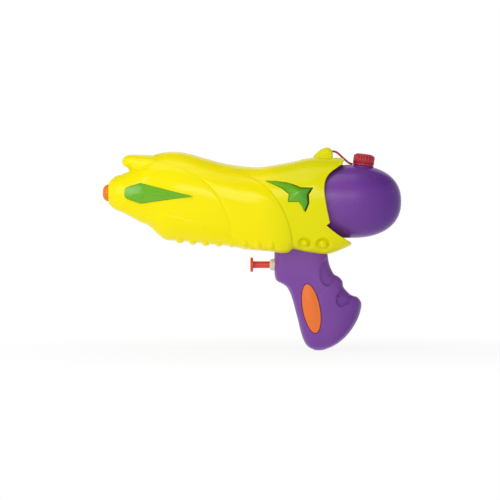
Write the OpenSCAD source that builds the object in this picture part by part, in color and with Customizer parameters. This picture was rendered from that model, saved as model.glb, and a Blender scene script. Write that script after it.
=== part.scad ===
// Hand-held water squirter with a push trigger.
// Frame: +X towards the tank, muzzle towards -X, +Z up, -Y is the left side.
// The origin is the middle of the hand grip. All sizes are millimetres.

/* [Shell] */
// Length of the shell from the muzzle face to the lower tail tip
shell_length = 219; // [212:1:228]
// Height of the shell from the belly to the crest
shell_height = 91.8; // [88:0.2:96]
// Width across both shell halves
shell_width = 59; // [58:0.5:63]
// Wall of the shell halves
shell_wall = 2; // [1.6:0.1:2.4]
// Depth of the step where one moulded fold overlaps the next
fold_step = 1.2; // [0.6:0.1:1.4]
// Bulge of the fold edges towards the tail, as a power of the height share
fold_round = 2; // [1.6:0.1:2.6]

/* [Grip] */
// Thickness of the grip across both halves
grip_width = 29; // [27:0.5:31]
// Wall of the grip halves
grip_wall = 2; // [1.6:0.1:2.4]
// Height of the tang that stands inside the shell
tang_height = 17.5; // [17:0.5:19]
// Long axis of the oval grip inlay
inlay_length = 45; // [40:0.5:47]
// Short axis of the oval grip inlay
inlay_width = 14.4; // [12:0.2:16]
// Lean of the oval grip inlay
inlay_lean = 10.6; // [6:0.2:14]

/* [Tank] */
// Width of the tank across the part
tank_width = 52; // [48:0.5:53]
// Height of the tank
tank_height = 65.6; // [62:0.2:66.4]
// Length of the tank behind its widest place
tank_rear = 44.8; // [41:0.2:48]
// Length of the tank ahead of its widest place
tank_front = 38; // [35:0.5:39]
// Wall of the blow-moulded tank
tank_wall = 1.6; // [1.2:0.1:2]
// Lean of the filler neck towards the rear
neck_lean = 8; // [4:0.5:12]
// Diameter of the filler bore
neck_bore = 10.8; // [9.5:0.1:11.4]
// Outside diameter of the filler neck
neck_d = 13.8; // [13:0.1:14.2]
// Height of the neck above the tank's crown
neck_height = 7.4; // [6.8:0.1:7.8]

/* [Cap] */
// Diameter of the screw cap
cap_d = 18.2; // [17.8:0.1:19.5]
// Height of the screw cap
cap_height = 9.4; // [9:0.1:10.5]
// Flutes around the cap
cap_flutes = 22; // [16:1:26]
// Thickness of the tether ring under the cap
ring_thickness = 1; // [0.8:0.1:1.3]
// Thickness of the tether strap
strap_thickness = 1.2; // [0.8:0.1:1.5]
// Width of the tether strap
strap_width = 3.6; // [2.6:0.1:4.2]

/* [Pump] */
// Diameter of the pump barrel
barrel_d = 10.4; // [10:0.1:11.2]
// Bore of the pump barrel
barrel_bore = 8.2; // [7.6:0.1:8.6]
// Length of the barrel and its guide that shows ahead of the grip
barrel_show = 4.2; // [3.5:0.1:5.5]
// Diameter of the plunger rod
rod_d = 6.2; // [5.4:0.1:6.4]
// Diameter of the plunger's finger head
head_d = 13; // [11.5:0.1:14.5]
// Thickness of the plunger's finger head
head_thickness = 2.6; // [2:0.1:3.2]
// Travel of the plunger
stroke = 12; // [10:0.5:13]
// Diameter of the valve balls
ball_d = 3.8; // [3.4:0.1:4.2]
// Outside diameter of the water tubes
tube_d = 4; // [3.6:0.1:4.4]
// Bore of the water tubes
tube_bore = 2.5; // [2.2:0.1:2.8]

/* [Nozzle] */
// Diameter of the nozzle button
nozzle_d = 15.4; // [14:0.1:16]
// Length of the nozzle button ahead of the muzzle
nozzle_show = 5.8; // [5:0.1:7.5]
// Diameter of the water jet
jet_d = 1.5; // [1:0.1:1.8]

/* [Trim and screws] */
// Crown of the green inlays above their rim
gem_crown = 2.6; // [1.6:0.1:3.2]
// Rim of the green inlays above the shell's skin
gem_rim = 0.6; // [0.4:0.1:1]
// Diameter of the round studs on the tail
stud_d = 10; // [8:0.2:11]
// Height of the round studs
stud_height = 1.5; // [0.8:0.1:2]
// Diameter of the screw shanks
screw_d = 2.6; // [2.2:0.1:3]
// Diameter of the screw heads
screw_head_d = 5; // [4.4:0.1:5.4]
// Length of the screws under the head
screw_length = 14; // [12:0.5:15]

/* [Fits] */
// Clearance of a loose fit such as an inlay in its window
loose_fit = 0.25; // [0.15:0.05:0.35]
// Clearance of a sliding or pushed fit, on the radius
slide_fit = 0.05; // [0.03:0.01:0.08]
// Smallest gap where one piece rests on another
rest_gap = 0.05; // [0.02:0.01:0.1]

/* [Hidden] */
$fn = 64;
far = 200;
overlap = 0.02;

// Shell: places that the other pieces take from it
tail_x = 31;
muzzle_x = tail_x - shell_length;
belly_z = 39.6;
bore_z = 94.6;

// Shell form, in percent: place along the length, crest, belly, half width, then the
// powers of the upper and lower half of the section
shell_form = [
    [0, 70.8, 48.4, 34, 2.2, 2.2],
    [2.3, 75.9, 43.8, 48, 2.2, 2.2],
    [5.5, 78.5, 40.5, 58, 2.2, 2.2],
    [12.8, 87, 31.4, 71, 2.3, 2.3],
    [17, 92.6, 26.7, 77.5, 2.3, 2.3],
    [21, 98.4, 16, 83, 2.3, 2.3],
    [26, 100.3, 11.9, 89, 2.3, 2.3],
    [32, 98.8, 10.9, 94, 2.3, 2.3],
    [40, 93.4, 9.1, 98, 2.4, 2.4],
    [49, 88.2, 7, 100, 2.4, 2.6],
    [61, 85.1, 2.3, 100, 2.4, 3.2],
    [69.5, 87.9, 0.9, 99.5, 2.4, 4.2],
    [75, 90.2, 3.2, 99, 2.4, 4.5],
    [82, 94, 0.7, 99, 2.4, 4.5],
    [90.4, 94.7, 0, 98, 2.4, 4.5],
    [100, 94.2, 7.1, 92, 2.4, 4.5]
];
// Fold lines as percent of the length, at the crest and at the belly
fold_lines = [[0, 0], [19.7, 49.3], [43.5, 75.2], [100, 100]];
fold_stations = [13, 9, 10];
shell_rows = 18;
cavity_stations = 16;
cavity_rows = 12;

// Grip form: height, front, rear and half width as percent of the grip's width
grip_form = [
    [40, -39.3, 8.4, 50], [31, -39.4, 10, 50.5], [25, -39.3, 12.4, 51], [21, -39, 14.9, 51],
    [19.6, -38.8, 17.9, 51], [15.6, -37.1, 21.7, 50.5], [12, -30.8, 22.4, 50],
    [9.5, -27.8, 23.1, 50], [4, -24.8, 28.3, 49.5], [2.2, -24.1, 31.1, 49.5],
    [1.2, -23.8, 34.8, 49.5], [-3.6, -22.3, 38.7, 50], [-10.4, -20.5, 38.4, 50.5],
    [-20, -18, 35.1, 51], [-31, -15.3, 28.2, 50], [-39, -12.4, 20.2, 43],
    [-44, -8.6, 12.2, 30], [-46.8, -3, 4.6, 10]
];
grip_square = 2.6;
grip_steps = 2;
grip_rows = 14;
grip_room_rows = 10;
grip_top = 40;
grip_cavity_foot = -40;
tang_top = grip_top + tang_height;
grip_window_height = 12.6;
// Thumb scoops: x, z, radius and the floor's share of the grip's half width
thumb_scoops = [[13.5, 21, 15, 0.6], [28, 2.5, 14, 0.5]];
scoop_room = 9;
scoop_top = 28;

// Tank
tank_x = 30;
tank_z = 87;
tank_round = 2.3;
tank_square = 2.2;
tank_rings = 26;
tank_sides = 36;
tank_room_rings = 16;
tank_room_sides = 24;
spigot_d = 10;
saddle_x = -12.5;
saddle_thickness = 2;
tail_wall_x = 9;
tail_wall_thickness = 2;
grommet_flange_d = 8.8;
grommet_flange = 1.5;
grommet_body_d = 5.7;
port_boss_d = 9.2;
port_boss_drop = 3.5;

// Neck and cap, along the neck's own axis from the tank's crown
neck_x = 40.5;
neck_z = tank_z + tank_height / 2 * egg(neck_x) - 0.7;
shoulder_d = 17;
shoulder_top = 0.4;
ring_z = shoulder_top + rest_gap;
cap_z = ring_z + ring_thickness + rest_gap;
cap_top_wall = 1.6;
cap_edge = 2.2;
thread_room = 0.55;
liner_thickness = 1.1;
flute_d = 1.5;

// Pump, along its own axis
pump_z = 30;
grip_front_x = -39.2;
barrel_front_x = grip_front_x - barrel_show;
guide_flange = 1.4;
guide_length = 4;
guide_flange_d = barrel_d - 1.2;
stop_x = barrel_front_x + guide_length;
piston_length = 4;
port_zone = 5;
end_wall = 3.5;
chamber_end_x = stop_x + piston_length + stroke + port_zone;
barrel_rear_x = chamber_end_x + end_wall;
port_x = chamber_end_x - port_zone / 2;
port_d = 2.4;
boss_d = 7.2;
ball_room_d = ball_d + 0.8;
outlet_seat_z = pump_z + barrel_d / 2 + 0.4;
outlet_boss_top = outlet_seat_z + ball_d + 1.6;
inlet_boss_foot = pump_z - barrel_d / 2 - 6.8;
inlet_seat_z = inlet_boss_foot + 1.5;
seat_rise = sqrt(pow(ball_d / 2, 2) - pow(port_d / 2, 2)) + rest_gap;
spigot_reach = 1.2;
connector_flange = 1.5;
barb_d = tube_bore - 2 * slide_fit;
barb_length = 6.5;
barb_bore = 1.4;
inlet_turn_z = inlet_boss_foot - connector_flange - 2.6;
inlet_body_d = 6;
head_gap = 15;
head_x = barrel_front_x - head_gap - head_thickness;
dish_depth = 0.7;
flange_d = 13.4;
flange_x = -34.6;
flange_thickness = 1.5;
cradle_thickness = 2;
seal_wire = 1.4;
spring_wire = 0.7;
spring_turns = 7;
spring_rings = 8;
spring_sides = 6;

// Water tubes
suction_x = 1.6;
port_boss_z = tank_z - tank_height / 2 * egg(suction_x) - port_boss_drop;
suction_bend = 12;
suction_top_z = port_boss_z + 5.5;
tube_sides = 10;
tube_steps = 18;
tube_over = tube_d / cos(180 / tube_sides);
delivery_rise = 42;
delivery_run = 70;

// Nozzle
nozzle_neck_d = 11.6;
nozzle_flange_d = 15;
nozzle_flange = 2;
nozzle_body = 4;

// Trim
gem_x = muzzle_x + 30.5;
gem_z = bore_z - 0.6;
gem_outline = [[-16.6, 3.2], [-14.6, 5.4], [-2.2, 9], [44, -2.2], [-2.2, -8.8], [-14.6, -4.6], [-16.6, -2.6]];
gem_peak = [0.6, 0.4];
gem_ahead = 16;
gem_behind = 44;
gem_updown = 6;
star_x = -17.6;
star_z = 94;
star_outline = [
    [-29.6, 11.4], [-9, 9.2], [2.2, 5.4], [12.8, 4.8], [8.8, -1.2], [8.6, -8.6],
    [6, -16.8], [1.2, -7.4], [-9.6, -7.2], [-8.4, -0.4], [-16, 5]
];
star_peak = [0, 0];
star_ahead = 20;
star_behind = 12;
star_updown = 10;
gem_depth = 3;
inlay_x = -6;
inlay_z = -10;
inlay_depth = 2.6;
inlay_crown = 1.2;
inlay_sides = 40;
stud_places = [[-12.6, 48.4], [3.8, 47.6]];

// Crest horn, rear sight and belly ribs
horn_tip = [17.4, 28.3, 5.9];
horn_root = [43, 25.7, 9];
horn_spread = 2.4;
sight_x = 8.2;
sight_r = 7;
sight_rise = 2.2;
sight_face = 5.1;
sight_ramp = 7.5;
sight_toe_r = 4.6;
rib_count = 5;
rib_first = 63.8;
rib_pitch = 11.7;
rib_r = 1.7;
rib_rise = 0.5;
rib_bow = 36;
rib_arc = 19;

// Screws: places as x, z; those of the shell follow its sections, and the front three the muzzle
shell_screw_spots = [
    [muzzle_x + 30, 0.197], [muzzle_x + 62, 0.859], [muzzle_x + 92, 0.162], [-62, 0.853], [-24, 0.895], [-10, 0.124]
];
shell_screw_places = [for (p = shell_screw_spots)
    [p[0], mix(belly(shell_share(p[0])), crest(shell_share(p[0])), p[1])]];
grip_screw_places = [[22, -10], [4, -35]];
screw_seat = 7;
screw_head = 1.8;
shell_boss_d = 8.6;
grip_boss_d = 7;
well_d = screw_head_d + 2 * loose_fit;
pilot_d = screw_d + 2 * slide_fit;

// Rear cut-out of the shell: its edge as depth below zero height and place, then the tail lip
cutout_edge = [[-120.6, 21.4], [-116.8, 16.6], [-111.9, 10.6], [-106, 7.2], [-99, 5.8], [-91.7, 6.4], [-80, 8.4], [-68.6, 11.2]];
cutout_steps = 22;
tail_lip = [[7.8, 65.2], [13.7, 60.2], [23, 54.9], [tail_x, 49.4]];
crest_tip_x = 22.8;

echo(spring_gap = (chamber_end_x - stop_x - piston_length) / spring_turns - 2 * spring_wire);

// Value of one column of a form at x, on a smooth curve through its rows
function row_of(form, x, i = 0) = (i >= len(form) - 2 || x <= form[i + 1][0]) ? i : row_of(form, x, i + 1);
function row_slope(form, c, i) =
    let (a = max(i - 1, 0), b = min(i + 1, len(form) - 1))
    (form[b][c] - form[a][c]) / (form[b][0] - form[a][0]);
function form_at(form, c, x) =
    let (i = row_of(form, x), a = form[i], b = form[i + 1], h = b[0] - a[0], s = (x - a[0]) / h,
         m0 = row_slope(form, c, i) * h, m1 = row_slope(form, c, i + 1) * h)
    (2 * s * s * s - 3 * s * s + 1) * a[c] + (s * s * s - 2 * s * s + s) * m0
    + (3 * s * s - 2 * s * s * s) * b[c] + (s * s * s - s * s) * m1;

// Half width share of a superellipse at a height share from -1 to 1
function bulge(v, power) = pow(max(0, 1 - pow(abs(v), power)), 1 / power);
function mix(a, b, t) = a + (b - a) * t;

// Shell sections by place along the length, from muzzle 0 to tail 100
function shell_x(share) = muzzle_x + shell_length * share / 100;
function shell_share(x) = min(100, max(0, (x - muzzle_x) / shell_length * 100));
function crest(share) = belly_z + shell_height * form_at(shell_form, 1, share) / 100;
function belly(share) = belly_z + shell_height * form_at(shell_form, 2, share) / 100;
function half_width(share) = shell_width / 2 * form_at(shell_form, 3, share) / 100;
function section_power(share, v) = form_at(shell_form, v > 0 ? 4 : 5, share);

// Fold relief: each fold starts low at its front edge and swells towards the next one
function fold_relief(section, t) = section == 0 ? 0 : -fold_step * pow(1 - t, 2);

// Skin depth of the bare shell at x and z
function skin_y(x, z) =
    let (s = shell_share(x), top = crest(s), foot = belly(s), v = (2 * z - top - foot) / (top - foot))
    half_width(s) * bulge(v, section_power(s, v));

// Steps through one fold; a later fold starts close behind the edge of the one before it
function fold_steps(section) = [section == 0 ? 0 : 0.12, for (i = [1:fold_stations[section]]) i];

// Reach of a screw boss from the parting plane to the middle of the wall, all round its edge
function boss_reach(p, r) =
    min([for (a = [0:45:315]) skin_y(p[0] + r * cos(a), p[1] + r * sin(a))]) - fold_step - shell_wall / 3;

// One row of points from crest to belly along a fold line
function fold_ring(section, t) =
    let (ease = section == 0 ? t * t : t,
         top = mix(fold_lines[section][0], fold_lines[section + 1][0], ease),
         foot = mix(fold_lines[section][1], fold_lines[section + 1][1], ease))
    [for (j = [0:shell_rows])
        let (v = cos(180 * j / shell_rows), q = (1 - v) / 2,
             s = mix(top, foot, pow(1 - pow(1 - q, fold_round), 1 / fold_round)),
             w = half_width(s) + fold_relief(section, t))
        [shell_x(s), -w * bulge(v, section_power(s, v)), mix(belly(s), crest(s), 1 - q)]];

// Closed solid through rings of points
module skin(rings) {
    count = len(rings[0]);
    sides = [for (i = [0:len(rings) - 2], j = [0:count - 1])
        let (a = i * count + j, b = i * count + (j + 1) % count)
        each [[a, b + count, b], [a, a + count, b + count]]];
    front = [for (j = [0:count - 1]) j];
    back = [for (j = [count - 1:-1:0]) (len(rings) - 1) * count + j];
    polyhedron([for (r = rings) each r], concat(sides, [front, back]));
}

// Left half of the outer form, closed on the parting plane
module shell_outside() {
    skin([for (section = [0:2], i = fold_steps(section)) fold_ring(section, i / fold_stations[section])]);
}

// Room inside the left half, a little past the parting plane and the tail
module shell_room() {
    span = shell_length - shell_wall + 3;
    inset = shell_wall + fold_step;
    skin([for (i = [0:cavity_stations])
        let (t = i / cavity_stations, x = muzzle_x + shell_wall + span * mix(t * t, t, 0.55), s = shell_share(x),
             top = crest(s) - shell_wall, foot = belly(s) + shell_wall, w = half_width(s) - inset)
        concat(
            [for (j = [0:cavity_rows])
                let (v = cos(180 * j / cavity_rows))
                [x, -w * bulge(v, section_power(s, v)), mix(foot, top, (1 + v) / 2)]],
            [[x, 1, foot], [x, 1, top]])]);
}

// Grip sections by height, and rings of the left half
function grip_front(z) = form_at([for (r = grip_form) [-r[0], r[1]]], 1, -z);
function grip_rear(z) = form_at([for (r = grip_form) [-r[0], r[2]]], 1, -z);
function grip_half(z) = grip_width / 100 * form_at([for (r = grip_form) [-r[0], r[3]]], 1, -z);
function grip_ring(z, inset, rows) =
    let (a = grip_front(z) + inset, w = grip_half(z) - inset,
         b = grip_rear(z) - inset - (inset > 0 ? scoop_room * min(1, max(0, (scoop_top - z) / 8)) : 0))
    [for (j = [0:rows])
        let (c = cos(180 * j / rows))
        [mix(a, b, (1 - c) / 2), -w * bulge(c, grip_square), z]];
function grip_heights() = [for (i = [0:len(grip_form) - 2], k = [0:grip_steps - 1])
    mix(grip_form[i][0], grip_form[i + 1][0], k / grip_steps)];

// Skin depth of the bare grip at x and z
function grip_skin(x, z) =
    let (a = grip_front(z), b = grip_rear(z))
    grip_half(z) * bulge((2 * x - a - b) / (b - a), grip_square);

// The tang is a straight run of the section at the grip's top
function grip_section(z, inset, rows) = [for (p = grip_ring(min(z, grip_top), inset, rows)) [p[0], p[1], z]];

module grip_outside() {
    heights = concat([tang_top], grip_heights(), [grip_form[len(grip_form) - 1][0]]);
    skin([for (i = [len(heights) - 1:-1:0]) grip_section(heights[i], 0, grip_rows)]);
}

module grip_room() {
    heights = concat([tang_top + 1], [for (r = grip_form) if (r[0] > grip_cavity_foot) r[0]], [grip_cavity_foot]);
    skin([for (i = [len(heights) - 1:-1:0])
        let (z = heights[i], r = grip_section(z, grip_wall, grip_room_rows))
        concat(r, [[r[grip_room_rows][0], 1, z], [r[0][0], 1, z]])]);
}

// Tank: share of the full section at x
function egg(x) =
    let (s = x < tank_x ? (tank_x - x) / tank_front : (x - tank_x) / tank_rear)
    bulge(min(1, s), tank_round);

module tank_form(inset, rings, sides) {
    front = tank_front - inset;
    rear = tank_rear - inset;
    skin([for (i = [0:rings])
        let (c = -cos(180 * mix(0.02, 0.98, i / rings)), k = bulge(c, tank_round),
             x = tank_x + c * (c < 0 ? front : rear))
        [for (j = [0:sides - 1])
            let (a = 360 * j / sides, v = sin(a))
            [x, sign(cos(a)) * k * (tank_width / 2 - inset) * bulge(v, tank_square),
             tank_z + k * (tank_height / 2 - inset) * v]]]);
}

// Local frames
module left_side() { children(); }
module right_side() { mirror([0, 1, 0]) children(); }
module along_x(x, z) { translate([x, 0, z]) rotate([0, 90, 0]) children(); }
module on_neck() { translate([neck_x, 0, neck_z]) rotate([0, neck_lean, 0]) children(); }
// Prism of a side-view outline between two depths on the left side
module side_prism(depth_a, depth_b) {
    rotate([90, 0, 0]) translate([0, 0, depth_a]) linear_extrude(depth_b - depth_a) children();
}
module tube_along_y(d, y_a, y_b) { rotate([90, 0, 0]) translate([0, 0, -y_b]) cylinder(d = d, h = y_b - y_a); }

// Frame on the shell's skin, level with it over a reach ahead, behind and up and down:
// its own X and Y lie in the skin and +Z points out of it
module on_skin(x, z, ahead, behind, updown, sink = 0) {
    slope_x = (skin_y(x + behind, z) - skin_y(x - ahead, z)) / (ahead + behind);
    slope_z = (skin_y(x, z + updown) - skin_y(x, z - updown)) / (2 * updown);
    translate([x, sink - skin_y(x, z), z]) rotate([atan(slope_z), 0, -atan(slope_x)]) rotate([90, 0, 0]) children();
}

module faceted_gem(outline, peak) {
    count = len(outline);
    points = concat(
        [for (p = outline) [p[0], p[1], -gem_depth]],
        [for (p = outline) [p[0], p[1], gem_rim]],
        [[peak[0], peak[1], gem_rim + gem_crown], [peak[0], peak[1], -gem_depth]]);
    faces = concat(
        [for (j = [0:count - 1]) [j + count, (j + 1) % count + count, 2 * count]],
        [for (j = [0:count - 1]) let (k = (j + 1) % count) each [[j, k, k + count], [j, k + count, j + count]]],
        [for (j = [0:count - 1]) [(j + 1) % count, j, 2 * count + 1]]);
    polyhedron(points, faces);
}

module gem_frame() { on_skin(gem_x, gem_z, gem_ahead, gem_behind, gem_updown) children(); }
module star_frame() { on_skin(star_x, star_z, star_ahead, star_behind, star_updown, fold_step * 0.7) children(); }
module gem_body() { gem_frame() faceted_gem(gem_outline, gem_peak); }
module star_body() { star_frame() faceted_gem(star_outline, star_peak); }

module inlay_frame() { translate([inlay_x, -grip_half(inlay_z), inlay_z]) rotate([90, -inlay_lean, 0]) children(); }
function oval(grow) = [for (j = [0:inlay_sides - 1])
    let (a = 360 * j / inlay_sides)
    [(inlay_width / 2 + grow) * cos(a), (inlay_length / 2 + grow) * sin(a)]];

// Skin of the left shell half with its moulded features
module shell_horn() {
    hull() for (p = [horn_tip, horn_root])
        translate([muzzle_x + p[0], -horn_spread, bore_z + p[1]]) sphere(r = p[2], $fn = 20);
}
module shell_sight() {
    intersection() {
        hull() {
            translate([sight_x, 0, crest(shell_share(sight_x)) + sight_rise]) sphere(r = sight_r, $fn = 20);
            translate([sight_x - sight_ramp, 0, crest(shell_share(sight_x)) + 1]) sphere(r = sight_toe_r, $fn = 20);
        }
        translate([sight_x + sight_face - far, -far / 2, 0]) cube([far, far, far]);
    }
}
module shell_ribs() {
    for (i = [0:rib_count - 1])
        let (x = muzzle_x + rib_first + i * rib_pitch)
        translate([x, 0, belly(shell_share(x)) + rib_rise + rib_bow]) rotate([0, 90, 0])
        rotate([0, 0, -rib_arc]) rotate_extrude(angle = rib_arc) translate([rib_bow, 0]) circle(r = rib_r, $fn = 24);
}
module shell_studs() {
    for (p = stud_places) on_skin(p[0], p[1], 2, 2, 2)
        rotate_extrude() intersection() {
            translate([0, -shell_wall / 2]) square([stud_d / 2, shell_wall / 2 + stud_height]);
            translate([0, stud_height - (pow(stud_d / 2, 2) + pow(stud_height, 2)) / (2 * stud_height)])
                circle(r = (pow(stud_d / 2, 2) + pow(stud_height, 2)) / (2 * stud_height));
        }
}
module shell_cutout() {
    top = cutout_edge[0][0];
    foot = cutout_edge[len(cutout_edge) - 1][0];
    side_prism(-far / 2, far / 2) polygon(concat(
        [[far, -top + 20], [crest_tip_x, -top + 20], [crest_tip_x, -top + 4]],
        [for (i = [0:cutout_steps]) let (z = mix(top, foot, i / cutout_steps)) [form_at(cutout_edge, 1, z), -z]],
        tail_lip, [[far, tail_lip[len(tail_lip) - 1][1]]]));
}
module grip_window() {
    a = grip_front(grip_top) - loose_fit;
    b = grip_rear(grip_top) + loose_fit;
    w = grip_half(grip_top) + loose_fit;
    translate([0, 0, belly_z - 6]) linear_extrude(grip_window_height) polygon(concat(
        [for (j = [0:24]) let (c = cos(7.5 * j)) [mix(a, b, (1 - c) / 2), -w * bulge(c, grip_square)]],
        [[b, 1], [a, 1]]));
}
module strap_slot() {
    translate([sight_x + sight_face - 3, -strap_width / 2 - loose_fit, strap_root_z - strap_thickness / 2 - loose_fit])
        cube([6, strap_width + 2 * loose_fit, strap_thickness + 2 * loose_fit]);
}

// Channel in the crest over the strap's route, clear of the strap
module strap_channel() {
    drop = strap_thickness + strap_room;
    side_prism(-strap_width / 2 - loose_fit, strap_width / 2 + loose_fit) polygon(concat(
        [for (i = [1:strap_steps]) strap_route[i] - [0, drop]],
        [[strap_foot[0], strap_root_z + far], [strap_route[1][0], strap_root_z + far]]));
}

// One shell half on the left side; the screw side has open wells
module shell_half(wells) {
    difference() {
        union() {
            difference() {
                union() {
                    shell_outside();
                    shell_horn();
                    shell_sight();
                    shell_ribs();
                    shell_studs();
                }
                shell_room();
                translate([-far, 0, -far / 2]) cube([2 * far, far, 2 * far]);
            }
            shell_bosses();
            tank_saddle();
            tail_wall();
        }
        shell_cutout();
        grip_window();
        strap_slot();
        strap_channel();
        gem_frame() translate([0, 0, -gem_depth - 3]) linear_extrude(gem_depth + 6) offset(delta = loose_fit)
            polygon(gem_outline);
        star_frame() translate([0, 0, -gem_depth - 3]) linear_extrude(gem_depth + 6) offset(delta = loose_fit)
            polygon(star_outline);
        along_x(muzzle_x - 1, bore_z) cylinder(d = nozzle_neck_d + 2 * slide_fit, h = shell_wall + 2);
        for (p = shell_screw_places) translate([p[0], 0, p[1]]) if (wells) {
            tube_along_y(pilot_d, -screw_seat - 1, 1);
            tube_along_y(well_d, -far, -screw_seat);
        } else tube_along_y(pilot_d, -(screw_length - screw_seat) - 1, 1);
    }
}
module shell_bosses() {
    for (p = shell_screw_places)
        translate([p[0], 0, p[1]]) tube_along_y(shell_boss_d, -boss_reach(p, shell_boss_d / 2), 0);
}
module tank_saddle() {
    top = crest(shell_share(saddle_x)) - shell_wall / 2;
    difference() {
        translate([saddle_x, -spigot_d, tank_z - spigot_d]) cube([saddle_thickness, spigot_d, top - tank_z + spigot_d]);
        along_x(saddle_x - 1, tank_z) cylinder(d = spigot_d + 2 * slide_fit, h = saddle_thickness + 2);
    }
}

// Wall across the tail under the tank
module tail_wall() {
    s = shell_share(tail_wall_x);
    w = half_width(s) - fold_step - shell_wall / 3;
    k = egg(tail_wall_x + tail_wall_thickness);
    translate([tail_wall_x, 0, 0]) rotate([90, 0, 90]) linear_extrude(tail_wall_thickness) difference() {
        polygon([for (j = [0:14])
            let (v = -cos(6 * j), foot = belly(s) + shell_wall / 3)
            [-w * bulge(v, section_power(s, v)), mix(foot, crest(s), (1 + v) / 2)], [0, mix(belly(s), crest(s), 0.5)]]);
        polygon([for (j = [0:47])
            let (v = sin(7.5 * j))
            [sign(cos(7.5 * j)) * (k * tank_width / 2 + rest_gap) * bulge(v, tank_square),
             tank_z + (k * tank_height / 2 + rest_gap) * v]]);
    }
}

// One grip half on the left side
module grip_half_body(wells) {
    difference() {
        union() {
            difference() {
                grip_outside();
                grip_room();
                translate([-far, 0, -far / 2]) cube([2 * far, far, 2 * far]);
            }
            grip_bosses();
            pump_cradle();
        }
        for (s = thumb_scoops)
            translate([s[0], -grip_width / 2 * s[3] - s[2], s[1]]) sphere(r = s[2]);
        inlay_frame() translate([0, 0, -inlay_depth - 2]) linear_extrude(inlay_depth + 6) polygon(oval(loose_fit));
        along_x(grip_front_x - 3, pump_z) cylinder(d = barrel_d + 2 * slide_fit, h = 8);
        tang_screw = shell_screw_places[len(shell_screw_places) - 1];
        translate([tang_screw[0], 0, tang_screw[1]]) tube_along_y(shell_boss_d + 2 * loose_fit, -far, 1);
        for (p = grip_screw_places) translate([p[0], 0, p[1]]) if (wells) {
            tube_along_y(pilot_d, -screw_seat - 1, 1);
            tube_along_y(well_d, -far, -screw_seat);
        } else tube_along_y(pilot_d, -(screw_length - screw_seat) - 1, 1);
    }
}
module grip_bosses() {
    for (p = grip_screw_places)
        translate([p[0], 0, p[1]]) tube_along_y(grip_boss_d, -grip_half(p[1]) + grip_wall / 2, 0);
}
module pump_cradle() {
    cradle_reach = grip_skin(flange_x + flange_thickness, pump_z - barrel_d) - grip_wall / 3;
    difference() {
        translate([flange_x + flange_thickness + rest_gap, -cradle_reach, pump_z - barrel_d])
            cube([cradle_thickness, cradle_reach, barrel_d]);
        along_x(flange_x, pump_z) cylinder(d = barrel_d + 2 * slide_fit, h = flange_thickness + 2 * cradle_thickness);
    }
}

module left_shell() { color("#f0e200") left_side() shell_half(false); }
module right_shell() { color("#f0e200") right_side() shell_half(true); }
module left_grip() { color("#6f4197") left_side() grip_half_body(false); }
module right_grip() { color("#6f4197") right_side() grip_half_body(true); }
module left_gem() { color("#72b82c") left_side() gem_body(); }
module right_gem() { color("#72b82c") right_side() gem_body(); }
module left_star() { color("#4fae33") left_side() star_body(); }
module right_star() { color("#4fae33") right_side() star_body(); }

// Oval grip inlay with a crowned face
module inlay_body() {
    inlay_frame() skin([for (step = [[1, -inlay_depth], [1, 0.1], [0.94, 0.55], [0.78, 0.9], [0.5, inlay_crown]])
        [for (p = oval(0)) [p[0] * step[0], p[1] * step[0], step[1]]]]);
}
module left_inlay() { color("#ee7630") left_side() inlay_body(); }
module right_inlay() { color("#ee7630") right_side() inlay_body(); }

// Blow-moulded tank with its filler neck, front spigot and outlet boss
module tank() {
    color("#6f4197") difference() {
        union() {
            tank_form(0, tank_rings, tank_sides);
            along_x(saddle_x - 1, tank_z) cylinder(d = spigot_d, h = tank_x - tank_front - saddle_x + 3);
            translate([suction_x, 0, port_boss_z]) cylinder(d = port_boss_d, h = 7);
            on_neck() translate([0, 0, -3]) cylinder(d = shoulder_d, h = 3 + shoulder_top);
            on_neck() translate([0, 0, -3]) cylinder(d = neck_d, h = 3 + neck_height);
        }
        tank_form(tank_wall, tank_room_rings, tank_room_sides);
        on_neck() translate([0, 0, -8]) cylinder(d = neck_bore, h = neck_height + 9);
        translate([suction_x, 0, port_boss_z - 1]) cylinder(d = grommet_body_d + 2 * slide_fit, h = 14);
    }
}

module tank_grommet() {
    color("#2b2b2e") difference() {
        union() {
            translate([suction_x, 0, port_boss_z - grommet_flange - rest_gap])
                cylinder(d = grommet_flange_d, h = grommet_flange);
            translate([suction_x, 0, port_boss_z - grommet_flange / 2])
                cylinder(d = grommet_body_d, h = 5);
        }
        translate([suction_x, 0, port_boss_z - 5]) cylinder(d = tube_over + 2 * slide_fit, h = 15);
    }
}

// Nozzle button with its neck, flange and tube barb
module nozzle() {
    rear = shell_wall + rest_gap;
    color("#ee7f28") along_x(muzzle_x, bore_z) difference() {
        union() {
            intersection() {
                translate([0, 0, -rest_gap]) scale(1) rotate_extrude() nozzle_profile();
                translate([0, 0, -nozzle_show - 1]) cylinder(d = nozzle_d + 2, h = nozzle_show + 1 - rest_gap);
            }
            translate([0, 0, -1]) cylinder(d = nozzle_neck_d, h = rear + 1.5);
            translate([0, 0, rear]) cylinder(d = nozzle_flange_d, h = nozzle_flange);
            translate([0, 0, rear]) cylinder(d = inlet_body_d, h = nozzle_flange + nozzle_body);
            translate([0, 0, rear]) cylinder(d = barb_d, h = nozzle_flange + nozzle_body + barb_length);
        }
        translate([0, 0, -nozzle_show - 2]) cylinder(d = jet_d, h = nozzle_show + rear + far / 4);
    }
}
// Button profile: a flat nose with a full round shoulder
module nozzle_profile() {
    shoulder = nozzle_show - 1;
    hull() {
        square([nozzle_d / 2, overlap]);
        translate([0, -nozzle_show]) square([nozzle_d / 2 - shoulder, overlap]);
        intersection() {
            translate([nozzle_d / 2 - shoulder, -nozzle_show + shoulder]) circle(r = shoulder, $fn = 32);
            translate([0, -nozzle_show]) square([nozzle_d, nozzle_show]);
        }
    }
}

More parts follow.
